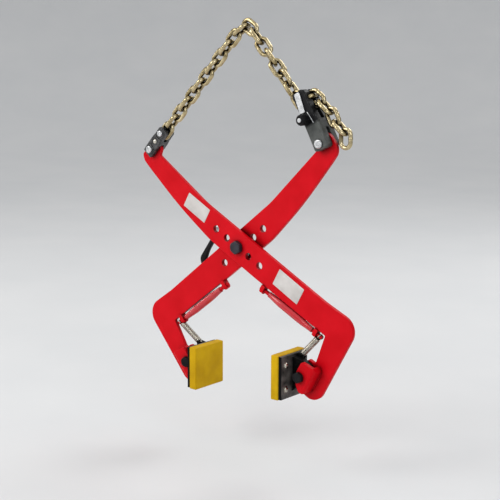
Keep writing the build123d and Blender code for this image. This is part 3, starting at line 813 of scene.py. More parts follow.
def add_piece(name: str, mesh: bpy.types.Mesh) -> bpy.types.Object:
    """Puts a mesh into the scene as a piece at the origin.

    Args:
        name: piece name.
        mesh: its mesh, with its material.

    Returns:
        The piece.
    """
    piece = bpy.data.objects.new(name, mesh)
    bpy.context.scene.collection.objects.link(piece)
    LOG.info("piece %s: %d faces", name, len(mesh.polygons))
    return piece


class Surface:
    """Grids of points gathered into one mesh of closed quads."""

    HEX_STEPS = 96
    HEX_FACE = 0.475
    HEX_CONE = 30.0
    HEX_END = 0.26
    HEX_ROWS = 9
    THREAD_STEPS = 40
    THREAD_ROWS = 10
    THREAD_DEPTH = 0.6
    THREAD_CHAMFER = 1.6 * MM

    def __init__(self, name: str) -> None:
        """Starts an empty surface.

        Args:
            name: name of the piece to be.
        """
        self.name = name
        self.points: list[Array] = []
        self.quads: list[Array] = []
        self.count = 0

    def grid(self, points: Array, wrap_rows: bool = False) -> "Surface":
        """Adds a grid whose columns close on themselves.

        Each point is joined to the next in its row and to the same place in the next row.

        Args:
            points: rows x columns x 3 world points.
            wrap_rows: whether the last row joins the first.

        Returns:
            This surface.
        """
        rows, columns = points.shape[:2]
        row = np.arange(rows if wrap_rows else rows - 1)[:, None]
        column = np.arange(columns)[None, :]
        here, after = row * columns, (row + 1) % rows * columns
        beside = (column + 1) % columns
        corners = (here + column, here + beside, after + beside, after + column)
        self.quads.append(np.stack(corners, axis=-1).reshape(-1, 4) + self.count)
        self.points.append(points.reshape(-1, 3))
        self.count += rows * columns
        return self

    def lathe(self, place: Place, rows: Array, steps: int = 40, wrap_rows: bool = False) -> "Surface":
        """Adds a turned form: a profile of (radius, height) carried round the place's z.

        Args:
            place: axis and seat.
            rows: radius and height of each row.
            steps: columns round the axis.
            wrap_rows: whether the profile closes on itself.

        Returns:
            This surface.
        """
        return self.grid(place.world(around(rows[:, 0:1], circle(steps), rows[:, 1:2])), wrap_rows)

    def capped(self, seat: Place, radius: Array, angle: Array, rise: Array) -> "Surface":
        """Adds a form about a place's z whose radius changes with angle and height, closed by flat ends.

        Args:
            seat: z along the form.
            radius: rows x columns radii.
            angle: one angle for each column.
            rise: one height for each row, as a column.

        Returns:
            This surface.
        """
        radius = np.concatenate((0 * radius[:1], radius, 0 * radius[:1]))
        rise = np.concatenate((rise[:1], rise, rise[-1:]))
        return self.grid(seat.world(around(radius, angle, rise)))

    def hexagon(self, seat: Place, flats: float, height: float, both: bool) -> "Surface":
        """Adds a hexagon body whose corners are turned down to a cone.

        The radius at each angle and height is the lesser of the flat's distance and the cone's.

        Args:
            seat: z along the body.
            flats: distance across flats.
            height: height of the body.
            both: whether the lower end is turned down too.

        Returns:
            This surface.
        """
        angle = circle(self.HEX_STEPS)
        flat = flats / 2 / np.cos(angle % (pi / 3) - pi / 6)
        low_rows = np.linspace(0.0, self.HEX_END, self.HEX_ROWS)
        top_rows = np.linspace(1 - self.HEX_END, 1.0, self.HEX_ROWS)
        rise = np.concatenate((low_rows, top_rows))[:, None] * height
        slope = np.tan(radians(self.HEX_CONE))
        top = flats * self.HEX_FACE + (height - rise) / slope
        low = flats * self.HEX_FACE + (rise if both else height) / slope
        return self.capped(seat, np.minimum(flat, np.minimum(top, low)), angle, rise)

    def thread(self, seat: Place, radius: float, length: float, pitch: float) -> "Surface":
        """Adds a threaded end: a helical saw-tooth ridge, its last turn drawn in by a chamfer.

        Args:
            seat: z outwards along the bolt.
            radius: outer radius of the thread.
            length: length of the end.
            pitch: rise for each turn.

        Returns:
            This surface.
        """
        angle = circle(self.THREAD_STEPS)
        rise = np.linspace(0.0, length, int(length / pitch * self.THREAD_ROWS))[:, None]
        tooth = np.abs(2 * ((rise / pitch - angle / (2 * pi)) % 1.0) - 1)
        ridge = radius - self.THREAD_DEPTH * pitch * tooth
        ridge = np.minimum(ridge, radius - self.THREAD_CHAMFER + (length - rise))
        return self.capped(seat, ridge, angle, rise)

    def tube(self, path: Array, radius: Array, sides: int = 12) -> "Surface":
        """Adds a round bar along an open path, its ends drawn in to a point.

        The section is carried from station to station by the least turn: the roll between neighbouring
        sections is found for all stations at once and summed along the path.

        Args:
            path: stations x 3 world points.
            radius: one radius for each station.
            sides: points round the section.

        Returns:
            This surface.
        """
        way = unit(np.gradient(path, axis=0))
        seed = np.eye(3)[np.argmin(np.abs(way), axis=1)]
        normal = unit(seed - way * np.sum(seed * way, axis=1, keepdims=True))
        side = np.cross(way, normal)
        turn = np.cross(way[:-1], way[1:])
        bend = np.sum(way[:-1] * way[1:], axis=1, keepdims=True)
        kept = normal[:-1]
        lean = turn * np.sum(turn * kept, axis=1, keepdims=True) / (1 + bend)
        carried = kept * bend + np.cross(turn, kept) + lean
        step = np.arctan2(np.sum(carried * side[1:], axis=1), np.sum(carried * normal[1:], axis=1))
        roll = np.concatenate(((0.0,), np.cumsum(step)))[:, None, None]
        angle = circle(sides)[None, :, None] + roll
        ring = np.cos(angle) * normal[:, None, :] + np.sin(angle) * side[:, None, :]
        body = path[:, None, :] + radius[:, None, None] * ring
        first = np.repeat(path[None, None, 0], sides, axis=1)
        last = np.repeat(path[None, None, -1], sides, axis=1)
        return self.grid(np.concatenate((first, body, last)))

    def mesh(self) -> bpy.types.Mesh:
        """Joins the grids.

        Returns:
            One mesh, before its doubles are merged.
        """
        mesh = bpy.data.meshes.new(self.name)
        mesh.from_pydata(np.concatenate(self.points).tolist(), [], np.concatenate(self.quads).tolist())
        return mesh

    def build(self, dress: Dress, sharp: float = 32.0) -> bpy.types.Object:
        """Makes the piece: seams and poles closed, faces outward, smooth between sharp edges.

        Args:
            dress: its material and slot.
            sharp: degrees from which an edge stays sharp.

        Returns:
            The piece, at the origin.
        """
        mesh = self.mesh()
        work = bmesh.new()
        work.from_mesh(mesh)
        bmesh.ops.remove_doubles(work, verts=work.verts, dist=MERGE)
        bmesh.ops.recalc_face_normals(work, faces=work.faces)
        work.to_mesh(mesh)
        work.free()
        mesh.shade_smooth()
        mesh.set_sharp_from_angle(angle=radians(sharp))
        mesh.materials.append(dress.material)
        return add_piece(self.name, mesh)

    def mount(self, dress: Dress, body: str, *nodes: str, sharp: float = 32.0) -> None:
        """Makes the piece, in place of CAD nodes if there are any, and lets it ride on a body.

        Args:
            dress: its material and slot.
            body: CAD body that carries it.
            nodes: CAD nodes that it stands for.
            sharp: degrees from which an edge stays sharp.
        """
        piece = self.build(dress, sharp)
        if nodes:
            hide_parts(*nodes)
        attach(piece, body)


@dataclass(frozen=True)
class Work:
    """One sub-assembly of the looks: the clamp's places, the finishes and, in each kind, its own sizes."""

    clamp: Clamp
    finishes: Finishes

    def build(self) -> None:
        """Makes the sub-assembly's pieces."""
        raise NotImplementedError

    def plain(self, slot: Slot) -> Dress:
        """The plain finish of a slot."""
        return self.finishes.by_slot[slot]


@dataclass(frozen=True)
class ChainWork(Work):
    """Round links in place of the faceted CAD ones."""

    def build(self) -> None:
        """Makes one piece for each run of links that moves together."""
        leaning, hanging = self.clamp.spare_places()
        self.run("saddle_links", "hang_links", self.clamp.saddle_places())
        self.run("left_chain", "left_leg", self.clamp.left_places())
        self.run("right_chain", "right_leg", self.clamp.right_places())
        self.run("spare_chain", "right_leg", leaning)
        self.run("spare_chain_end", "tail_end", hanging)

    def run(self, node: str, body: str, places: list[Place]) -> None:
        """Makes one run of links.

        Args:
            node: CAD node that it stands for.
            body: CAD body that carries it.
            places: one place for each link.
        """
        surface = Surface("round_" + node)
        for place in places:
            surface.grid(self.clamp.chain.link(place), wrap_rows=True)
        surface.mount(self.plain(Slot.CHAIN_ZINC), body, node, sharp=60.0)


@dataclass(frozen=True)
class SpringWork(Work):
    """Close-wound return spring with a hook at each end."""

    wire: float = 1.9 * MM
    radius: float = 5.1 * MM
    turns: float = 22.75
    turn_points: int = 22
    first_angle: float = 270.0
    top_hook: float = 5.2 * MM
    foot_hook: float = 3.7 * MM
    hook_turn: float = 300.0
    top_points: int = 36
    foot_points: int = 30
    lead: float = 1.5 * MM
    lead_points: int = 14
    lead_pull: float = 1.4
    sides: int = 10
    rod_run: float = 131.0 * MM
    ear: Triple = (12.5 * MM, -11.0 * MM, 34.9 * MM)

    def build(self) -> None:
        """Makes the spring of each arm."""
        for arm in self.clamp.arms:
            self.spring(arm)

    def path(self, place: Place, length: float) -> tuple[Array, float, float]:
        """Centre line of the wire.

        A ring round the rod, a smooth lead out to the coil, the close coil, a lead back in and a ring round
        the ear's pin. A lead is a cubic between two points with given directions.

        Args:
            place: the rod's centre, z towards the pin, x along the rod, y along the pin.
            length: from the rod to the pin.

        Returns:
            stations x 3 world points, and how far along z the coil begins and ends.
        """
        begin = self.top_hook + self.lead
        finish = length - self.foot_hook - self.lead
        swing = np.radians(np.linspace(self.hook_turn, 0.0, self.top_points))
        top = np.stack((0 * swing, self.top_hook * np.sin(swing), self.top_hook * np.cos(swing)), axis=-1)
        share = np.linspace(0.0, 1.0, int(self.turns * self.turn_points))
        angle = np.radians(self.first_angle) + 2 * pi * self.turns * share
        coil = around(self.radius, angle, np.linspace(begin, finish, angle.size))
        swing = np.radians(np.linspace(0.0, self.hook_turn, self.foot_points))
        drop = length - self.foot_hook * np.cos(swing)
        foot = np.stack((self.foot_hook * np.sin(swing), 0 * swing, drop), axis=-1)
        along = np.array((1.0, 0.0, 0.0))
        lead_in = self.cubic(top[-1], -AWAY, coil[0], along)
        way_out = np.array((-sin(angle[-1]), cos(angle[-1]), 0.0))
        lead_out = self.cubic(coil[-1], way_out, foot[0], along)
        local = np.concatenate((top[:-1], lead_in[:-1], coil[:-1], lead_out[:-1], foot))
        return place.world(local), begin, finish

    def cubic(self, start: Array, leave: Array, end: Array, arrive: Array) -> Array:
        """Cubic between two points with given directions.

        Args:
            start: first point.
            leave: direction at the first point.
            end: last point.
            arrive: direction at the last point.

        Returns:
            lead_points x 3 points.
        """
        t = np.linspace(0.0, 1.0, self.lead_points)[:, None]
        pull = self.lead_pull * self.radius
        rest = (2 * t**3 - 3 * t**2 + 1) * start + (3 * t**2 - 2 * t**3) * end
        return rest + (t**3 - 2 * t**2 + t) * leave * pull + (t**3 - t**2) * arrive * pull

    def spring(self, arm: Arm) -> None:
        """Makes one spring, from the sleeve rod on the arm to the ear on the jaw.

        Args:
            arm: the arm.
        """
        top = arm.run.point(0.0, 0.0, self.rod_run)
        forward, across, rise = self.ear
        between = arm.jaw.point(forward, across * arm.face, rise) - top
        place = Place.on(top, arm.run.z, between)
        path, begin, finish = self.path(place, float(np.linalg.norm(between)))
        surface = Surface(arm.named("close_spring"))
        surface.tube(path, np.full(len(path), self.wire / 2), self.sides)
        piece = surface.build(self.finishes.spring, sharp=60.0)
        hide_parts(arm.named("jaw_spring"), arm.named("spring_top"), arm.named("spring_foot"))
        start, end = place.point(0, 0, begin), place.point(0, 0, finish)
        arm.body
        arm.jaw_body
        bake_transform(piece)


@dataclass(frozen=True)
class Bolt:
    """Sizes of a hexagon bolt and its nut."""

    diameter: float
    flats: float
    head: float
    plain: float
    threaded: float
    nut: float
    pitch: float = 1.75 * MM
    face: float = 0.47
    face_rise: float = 0.3 * MM


@dataclass(frozen=True)
class BoltedWork(Work):
    """A sub-assembly that hexagon bolts hold."""

    def bolt(self, node: str, body: str, under: Place, size: Bolt, dress: Dress) -> None:
        """Makes a hexagon bolt in place of a CAD one: head, washer face, plain shank and thread.

        Args:
            node: CAD node that it stands for.
            body: CAD body that carries it.
            under: seat under the head, z to the head.
            size: its sizes.
            dress: its finish.
        """
        face, rise, shank = size.flats * size.face, size.face_rise, size.diameter / 2
        surface = Surface("turned_" + node).hexagon(under, size.flats, size.head, False)
        surface.lathe(under, np.array(((0.0, 0.0), (face, 0.0), (face, rise), (0.0, rise))), steps=48)
        surface.lathe(under, np.array(((0.0, -size.plain), (shank, -size.plain), (shank, 0.0), (0.0, 0.0))))
        surface.thread(under.at(0, 0, -size.plain).flipped(), shank, size.threaded, size.pitch)
        surface.mount(dress, body, node, sharp=24.0)

    def nut(self, node: str, body: str, seat: Place, size: Bolt) -> None:
        """Makes a hexagon nut in place of a CAD one, with its z along the seat's."""
        surface = Surface("turned_" + node).hexagon(seat, size.flats, size.nut, True)
        surface.mount(self.plain(Slot.BLACK_STEEL), body, node, sharp=24.0)


@dataclass(frozen=True)
class PivotWork(BoltedWork):
    """Pivot bolt through both arms."""

    size: Bolt = Bolt(14 * MM, 22 * MM, 8.8 * MM, 38 * MM, 10 * MM, 12 * MM)
    head_seat: float = 4.0 * MM
    nut_seat: float = 6.8 * MM

    def build(self) -> None:
        """Makes the bolt and its nut."""
        front, rear = self.clamp.arms
        self.bolt("pivot_bolt", front.body, front.place.at(0, 0, self.head_seat), self.size, self.finishes.bolt)
        self.nut("pivot_nut", front.body, rear.place.at(0, 0, self.nut_seat), self.size)


@dataclass(frozen=True)
class JawWork(BoltedWork):
    """Bolt of each jaw, and the four button-head screws that hold its pad."""

    size: Bolt = Bolt(12 * MM, 18 * MM, 7.5 * MM, 35 * MM, 7.5 * MM, 9 * MM)
    head_seat: float = 27.0 * MM
    nut_seat: float = -4.0 * MM
    bracket_back: float = 22.6 * MM
    screw_across: Pair = (-25.0 * MM, 25.0 * MM)
    screw_rise: Pair = (-25.1 * MM, 19.9 * MM)

    def build(self) -> None:
        """Makes the bolt, the nut and the screws of each jaw."""
        for arm in self.clamp.arms:
            under = arm.bolt(self.head_seat)
            self.bolt(arm.named("jaw_bolt"), arm.body, under, self.size, self.plain(Slot.BLACK_STEEL))
            self.nut(arm.named("jaw_nut"), arm.body, arm.bolt(self.nut_seat).flipped(), self.size)
            self.screws(arm)

    def screws(self, arm: Arm) -> None:
        """Makes the screws of one jaw: a washer, a domed head and a small socket, turned.

        Args:
            arm: the arm of that jaw.
        """
        washer = profile((0, -0.6), (6.2, -0.6), (6.2, 0.4), (5.9, 0.6), (5.2, 0.6))
        socket = profile((1.3, 3.3), (1.2, 2.8), (0, 2.7))
        head = dome(middle=(0.0, 0.5), size=(5.2, 3.1), stop=74.0, steps=10)
        rows = np.concatenate((washer, head, socket))
        surface = Surface(arm.named("jaw_screws"))
        jaw = arm.jaw
        for across in self.screw_across:
            for rise in self.screw_rise:
                surface.lathe(Place.on(jaw.point(self.bracket_back, across, rise), jaw.z, -jaw.x), rows, steps=36)
        surface.mount(self.finishes.spring, arm.jaw_body)


@dataclass(frozen=True)
class Pin:
    """Sizes of a clevis pin, in millimetres: two radii, and half the length between head and collar."""

    radius: float
    head: float
    half: float


@dataclass(frozen=True)
class PinWork(Work):
    """Clevis pins of the two forks."""

    left_arm: Pin = Pin(6.0, 7.4, 13.4)
    left_chain: Pin = Pin(5.0, 6.2, 13.4)
    right_arm: Pin = Pin(6.0, 8.2, 20.0)

    def build(self) -> None:
        """Makes the pin of each fork's arm, and the left fork's chain pin."""
        clevis = self.clamp.clevis
        self.pin("left_arm_pin", "left_leg", clevis, self.left_arm)
        self.pin("left_chain_pin", "left_leg", clevis.at(0.0, self.clamp.CHAIN_PIN), self.left_chain)
        self.pin("right_arm_pin", "right_leg", self.clamp.shortener, self.right_arm)

    def pin(self, node: str, body: str, place: Place, size: Pin) -> None:
        """Makes a clevis pin: low domed head at the viewer's side, a grooved collar behind.

        Args:
            node: CAD node that it stands for.
            body: CAD body that carries it.
            place: middle of the pin, z to the viewer.
            size: its sizes.
        """
        radius, head, half = size.radius, size.head, size.half
        shank = profile(
            (0, -half - 3.4), (radius - 1.0, -half - 3.4), (radius, -half - 2.6),
            (head - 0.6, -half - 2.6), (head, -half - 2.1), (head, -half - 0.5), (head - 0.5, -half - 0.1),
            (radius, -half - 0.1), (radius, half + 0.1), (head - 0.4, half + 0.1), (head, half + 0.5),
        )
        cap = dome(middle=(head - 2.2, half + 1.9), size=(2.2, 2.2), stop=90.0, steps=10)
        dimple = profile((radius * 0.55, half + 4.1), (radius * 0.45, half + 3.6), (0, half + 3.6))
        surface = Surface("turned_" + node).lathe(place, np.concatenate((shank, cap, dimple)), steps=48)
        surface.mount(self.plain(Slot.BRIGHT_ZINC), body, node)


@dataclass(frozen=True)
class ClevisWork(Work):
    """Raised rings round the left clevis's pins and the rivet between them, on both cheeks."""

    cheek: float = 13.4 * MM
    rings: tuple[Triple, ...] = ((0.0, 7.6, 10.4), (44.0, 6.4, 9.4))
    rivet_rise: float = 22.0 * MM

    def build(self) -> None:
        """Makes the rings and the rivet."""
        clevis = self.clamp.clevis
        surface = Surface("clevis_bosses")
        for rise, inner, outer in self.rings:
            rows = profile((inner, -0.3), (outer, -0.3), (outer, 0.9), (outer - 0.6, 1.5), (inner, 1.5))
            near = clevis.at(0.0, rise * MM, self.cheek)
            far = clevis.at(0.0, rise * MM, -self.cheek).flipped()
            for spot in (near, far):
                surface.lathe(spot, rows, steps=48, wrap_rows=True)
        surface.mount(self.finishes.by_node["left_clevis"], "left_leg")
        cap = dome(middle=(0.0, 13.3), size=(4.4, 2.0), stop=90.0, steps=8)
        rows = np.concatenate((cap[::-1] * (1.0, -1.0), cap))
        surface = Surface("clevis_rivet").lathe(clevis.at(0.0, self.rivet_rise), rows)
        surface.mount(self.finishes.spring, "left_leg")


@dataclass(frozen=True)
class ShortenerWork(Work):
    """Knob of the shortener's locking pin, and a bright rib beside it that is a painted highlight."""

    knob_spot: Triple = (-4.5 * MM, 49.0 * MM, 20.3 * MM)
    knob_steps: int = 144
    flutes: int = 18
    flute: float = 0.5 * MM
    flute_round: float = 0.6
    rib_top: Triple = (3.2 * MM, 61.0 * MM, 20.1 * MM)
    rib_foot: Triple = (7.4 * MM, 37.5 * MM, 20.1 * MM)
    rib_thick: float = 1.25 * MM
    rib_points: int = 24

    def build(self) -> None:
        """Makes the knob and the rib, a painted highlight."""
        self.knob()
        self.rib()

    def knob(self) -> None:
        """Makes the fluted knob and the end of its pin.

        The knob is a turned profile whose radius falls by a rounded cosine at each flute, by a share of its
        depth that fades to both ends.
        """
        seat = self.clamp.shortener.at(*self.knob_spot)
        angle = circle(self.knob_steps)
        flute = self.flute * (1 - np.abs(np.cos(angle * self.flutes / 2)) ** self.flute_round)
        rows = profile(
            (0, 0), (9, 0), (9.8, 0.7), (10, 3), (10, 15.5), (9.6, 17.4), (8.4, 18.7), (6.8, 19), (0, 18.4),
        )
        depth = np.array((0, 0, 0.4, 1, 1, 0.8, 0.2, 0, 0))[:, None]
        surface = Surface("fluted_knob")
        surface.grid(seat.world(around(rows[:, 0:1] - depth * flute, angle, rows[:, 1:2])))
        surface.mount(self.plain(Slot.BLACK_STEEL), "lock", "locking_knob", sharp=40.0)
        rows = profile((0, 18.0), (4.0, 18.0), (4.0, 21.0), (3.3, 21.7), (0, 21.7))
        Surface("knob_pin_end").lathe(seat, rows).mount(self.plain(Slot.BRIGHT_ZINC), "lock")

    def rib(self) -> None:
        """Makes a bright zinc rib on the front cheek, from the wear plate down past the knob: a painted highlight
        along the cheek's edge.

        It is a straight round bar, drawn in at both ends.
        """
        share = np.linspace(0.0, 1.0, self.rib_points)
        top, foot = np.array(self.rib_top), np.array(self.rib_foot)
        path = self.clamp.shortener.world(top + share[:, None] * (foot - top))
        # Bright zinc bar as a painted highlight along the cheek's edge.
        surface = Surface("painted_highlight_rib").tube(path, self.rib_thick * drawn_in(share, 6), sides=14)
        surface.mount(self.plain(Slot.BRIGHT_ZINC), "right_leg", sharp=60.0)


@dataclass(frozen=True)
class HookWork(Work):
    """Open-hold hook: a straight bar from the stud's eye, curled round into a prong beyond the catch pin."""

    catch: Pair = (92.0 * MM, 17.0 * MM)
    thick: float = 8.0 * MM
    width: float = 9.0 * MM
    swell: float = 4.6 * MM
    swell_run: float = 14.0 * MM
    slope: float = 26.4
    root: float = -1.8 * MM
    curl: float = 11.0 * MM
    curl_steps: int = 24
    steps: int = 29
    eye: float = 12.5 * MM
    chamfer: float = 0.9 * MM
    tip: float = -9.0 * MM
    tip_steps: int = 20
    tail: Pair = (-21.0 * MM, 0.5 * MM)
    tail_width: float = 11.0 * MM
    tail_taper: float = 12.0 * MM
    round_end: float = 2.4 * MM
    least_end: float = 0.02
    play: float = 5.8 * MM
    sides: int = 28

    def path(self, reach: float) -> Array:
        """Centre line in the hook's plane: tail, straight bar, curl and prong.

        The bar rises at a set slope, an arc of set radius turns it to point back past the pin, and the prong
        runs straight from there.

        Args:
            reach: from the stud to the catch pin.

        Returns:
            stations x 2 points, x to the catch pin.
        """
        lean = radians(self.slope)
        prong = reach + self.play + self.width / 2
        start = prong - self.curl * (1 + sin(lean))
        rise = self.root + start * np.tan(lean)
        middle = np.array((start + self.curl * sin(lean), rise - self.curl * cos(lean)))
        turn = np.linspace(pi / 2 + lean, 0.0, self.curl_steps)
        arc = middle + self.curl * np.stack((np.cos(turn), np.sin(turn)), axis=-1)
        share = np.linspace(0.0, 1.0, self.steps, endpoint=False)[:, None]
        root = np.array((0.0, self.root))
        tail = np.array(self.tail) * (1 - share) + root * share
        bar = root * (1 - share) + arc[0] * share
        foot = np.linspace(middle[1], self.tip, self.tip_steps)[1:]
        end = np.stack((np.full(foot.size, prong), foot), axis=-1)
        return np.concatenate((tail, bar, arc, end))

    def bar(self, path: Array) -> Array:
        """Surface of the bar along its centre line.

        The section is a rounded rectangle, a fourth-power oval, set square on the centre line; it is wide at the
        tail, slim along the bar, thickened inwards by a bell curve at the curl and drawn in at both ends.

        Args:
            path: stations x 2 points.

        Returns:
            rows x sides x 3 local points, each end closed by its middle.
        """
        way = np.gradient(path, axis=0)
        side = unit(np.stack((-way[:, 1], way[:, 0]), axis=-1))
        run = np.concatenate(((0.0,), np.cumsum(np.linalg.norm(np.diff(path, axis=0), axis=1))))
        wider = np.clip(1 - path[:, 0] / self.tail_taper, 0.0, 1.0)
        broad = self.width + (self.tail_width - self.width) * wider
        short = (1 - np.minimum(run, run[-1] - run) / self.round_end).clip(0.0)
        ends = np.sqrt(np.clip(1 - short**2, self.least_end, 1.0))
        angle = circle(self.sides)
        across = np.sign(np.cos(angle)) * np.sqrt(np.abs(np.cos(angle)))
        deep = np.sign(np.sin(angle)) * np.sqrt(np.abs(np.sin(angle)))
        swell = self.swell * np.exp(-(((run - run[2 * self.steps]) / self.swell_run) ** 2))
        half = (broad + swell) * ends / 2
        offset = half[:, None] * across - swell[:, None] / 2
        flat = path[:, None, :] + side[:, None, :] * offset[:, :, None]
        depth = self.thick / 2 * (1 + ends[:, None] * deep[None, :])
        body = np.concatenate((flat, depth[:, :, None]), axis=-1)
        first, last = (np.repeat(body[row].mean(axis=0)[None, None], self.sides, axis=1) for row in (0, -1))
        return np.concatenate((first, body, last))

    def build(self) -> None:
        """Makes the hook in place of the CAD one, the bar with a turned disc for its eye."""
        rear = self.clamp.arms[1]
        reach = (rear.place.point(*self.catch) - self.clamp.stud) * NO_DEPTH
        place = Place.on(self.clamp.stud, reach, AWAY)
        path = self.path(float(np.linalg.norm(reach)))
        surface = Surface("bent_hold_hook").grid(place.world(self.bar(path)))
        eye, inner, top = self.eye, self.eye - self.chamfer, self.thick - self.chamfer
        disc = ((0.0, 0.0), (inner, 0.0), (eye, self.chamfer), (eye, top), (inner, self.thick), (0.0, self.thick))
        surface.lathe(place, np.array(disc), steps=48)
        surface.mount(self.plain(Slot.BLACK_STEEL), "open_hold", "hold_hook", sharp=40.0)


@dataclass(frozen=True)
class SleeveWork(Work):
    """Hand-grip barrels on their rods."""

    length: float = 112.0 * MM
    bore: float = 4.1 * MM
    thick: float = 7.5 * MM
    thin: float = 5.6 * MM
    taper: float = 0.32
    chamfer: float = 0.5 * MM
    rows: int = 49

    def build(self) -> None:
        """Makes the barrel and the rod of each arm."""
        skin = self.skin()
        for arm in self.clamp.arms:
            surface = Surface(arm.named("barrel")).lathe(arm.run, skin, steps=44, wrap_rows=True)
            surface.mount(self.plain(Slot.RED_PLASTIC), arm.named("grip"), arm.named("sleeve"))
            self.rod(arm)

    def skin(self) -> Array:
        """Closed profile of a barrel.

        The radius runs from the thin ends to the thick middle by a half cosine over the outer thirds. The ends
        are chamfered, and the bore closes the profile.

        Returns:
            rows x 2 radius and height.
        """
        share = np.linspace(0.0, 1.0, self.rows)
        swell = np.clip(np.minimum(share, 1 - share) / self.taper, 0.0, 1.0)
        outer = self.thin + (self.thick - self.thin) * (0.5 - 0.5 * np.cos(pi * swell))
        outer[[0, -1]] -= self.chamfer
        run = share * self.length
        run[[1, -2]] = (self.chamfer, self.length - self.chamfer)
        inside = ((self.bore, self.length), (self.bore, 0.0))
        return np.concatenate((np.stack((outer, run), axis=-1), inside))

    def rod(self, arm: Arm) -> None:
        """Makes the rod of one barrel: a low head outside the upper lug, a plain end for the spring's hook.

        Args:
            arm: the arm that carries it.
        """
        rows = profile(
            (0, -22.8), (3.4, -22.8), (4.6, -22.2), (4.8, -21.2), (4.8, -20.1), (4.0, -20.0),
            (4.0, 136.2), (3.2, 137.0), (0, 137.0),
        )
        surface = Surface(arm.named("grip_rod")).lathe(arm.run, rows, steps=32)
        surface.mount(self.plain(Slot.RED_PAINT), arm.body, arm.named("sleeve_rod"))


@dataclass(frozen=True)
class Label:
    """Middle and size of a bare label on its arm, in millimetres."""

    along: float
    out: float
    width: float
    height: float


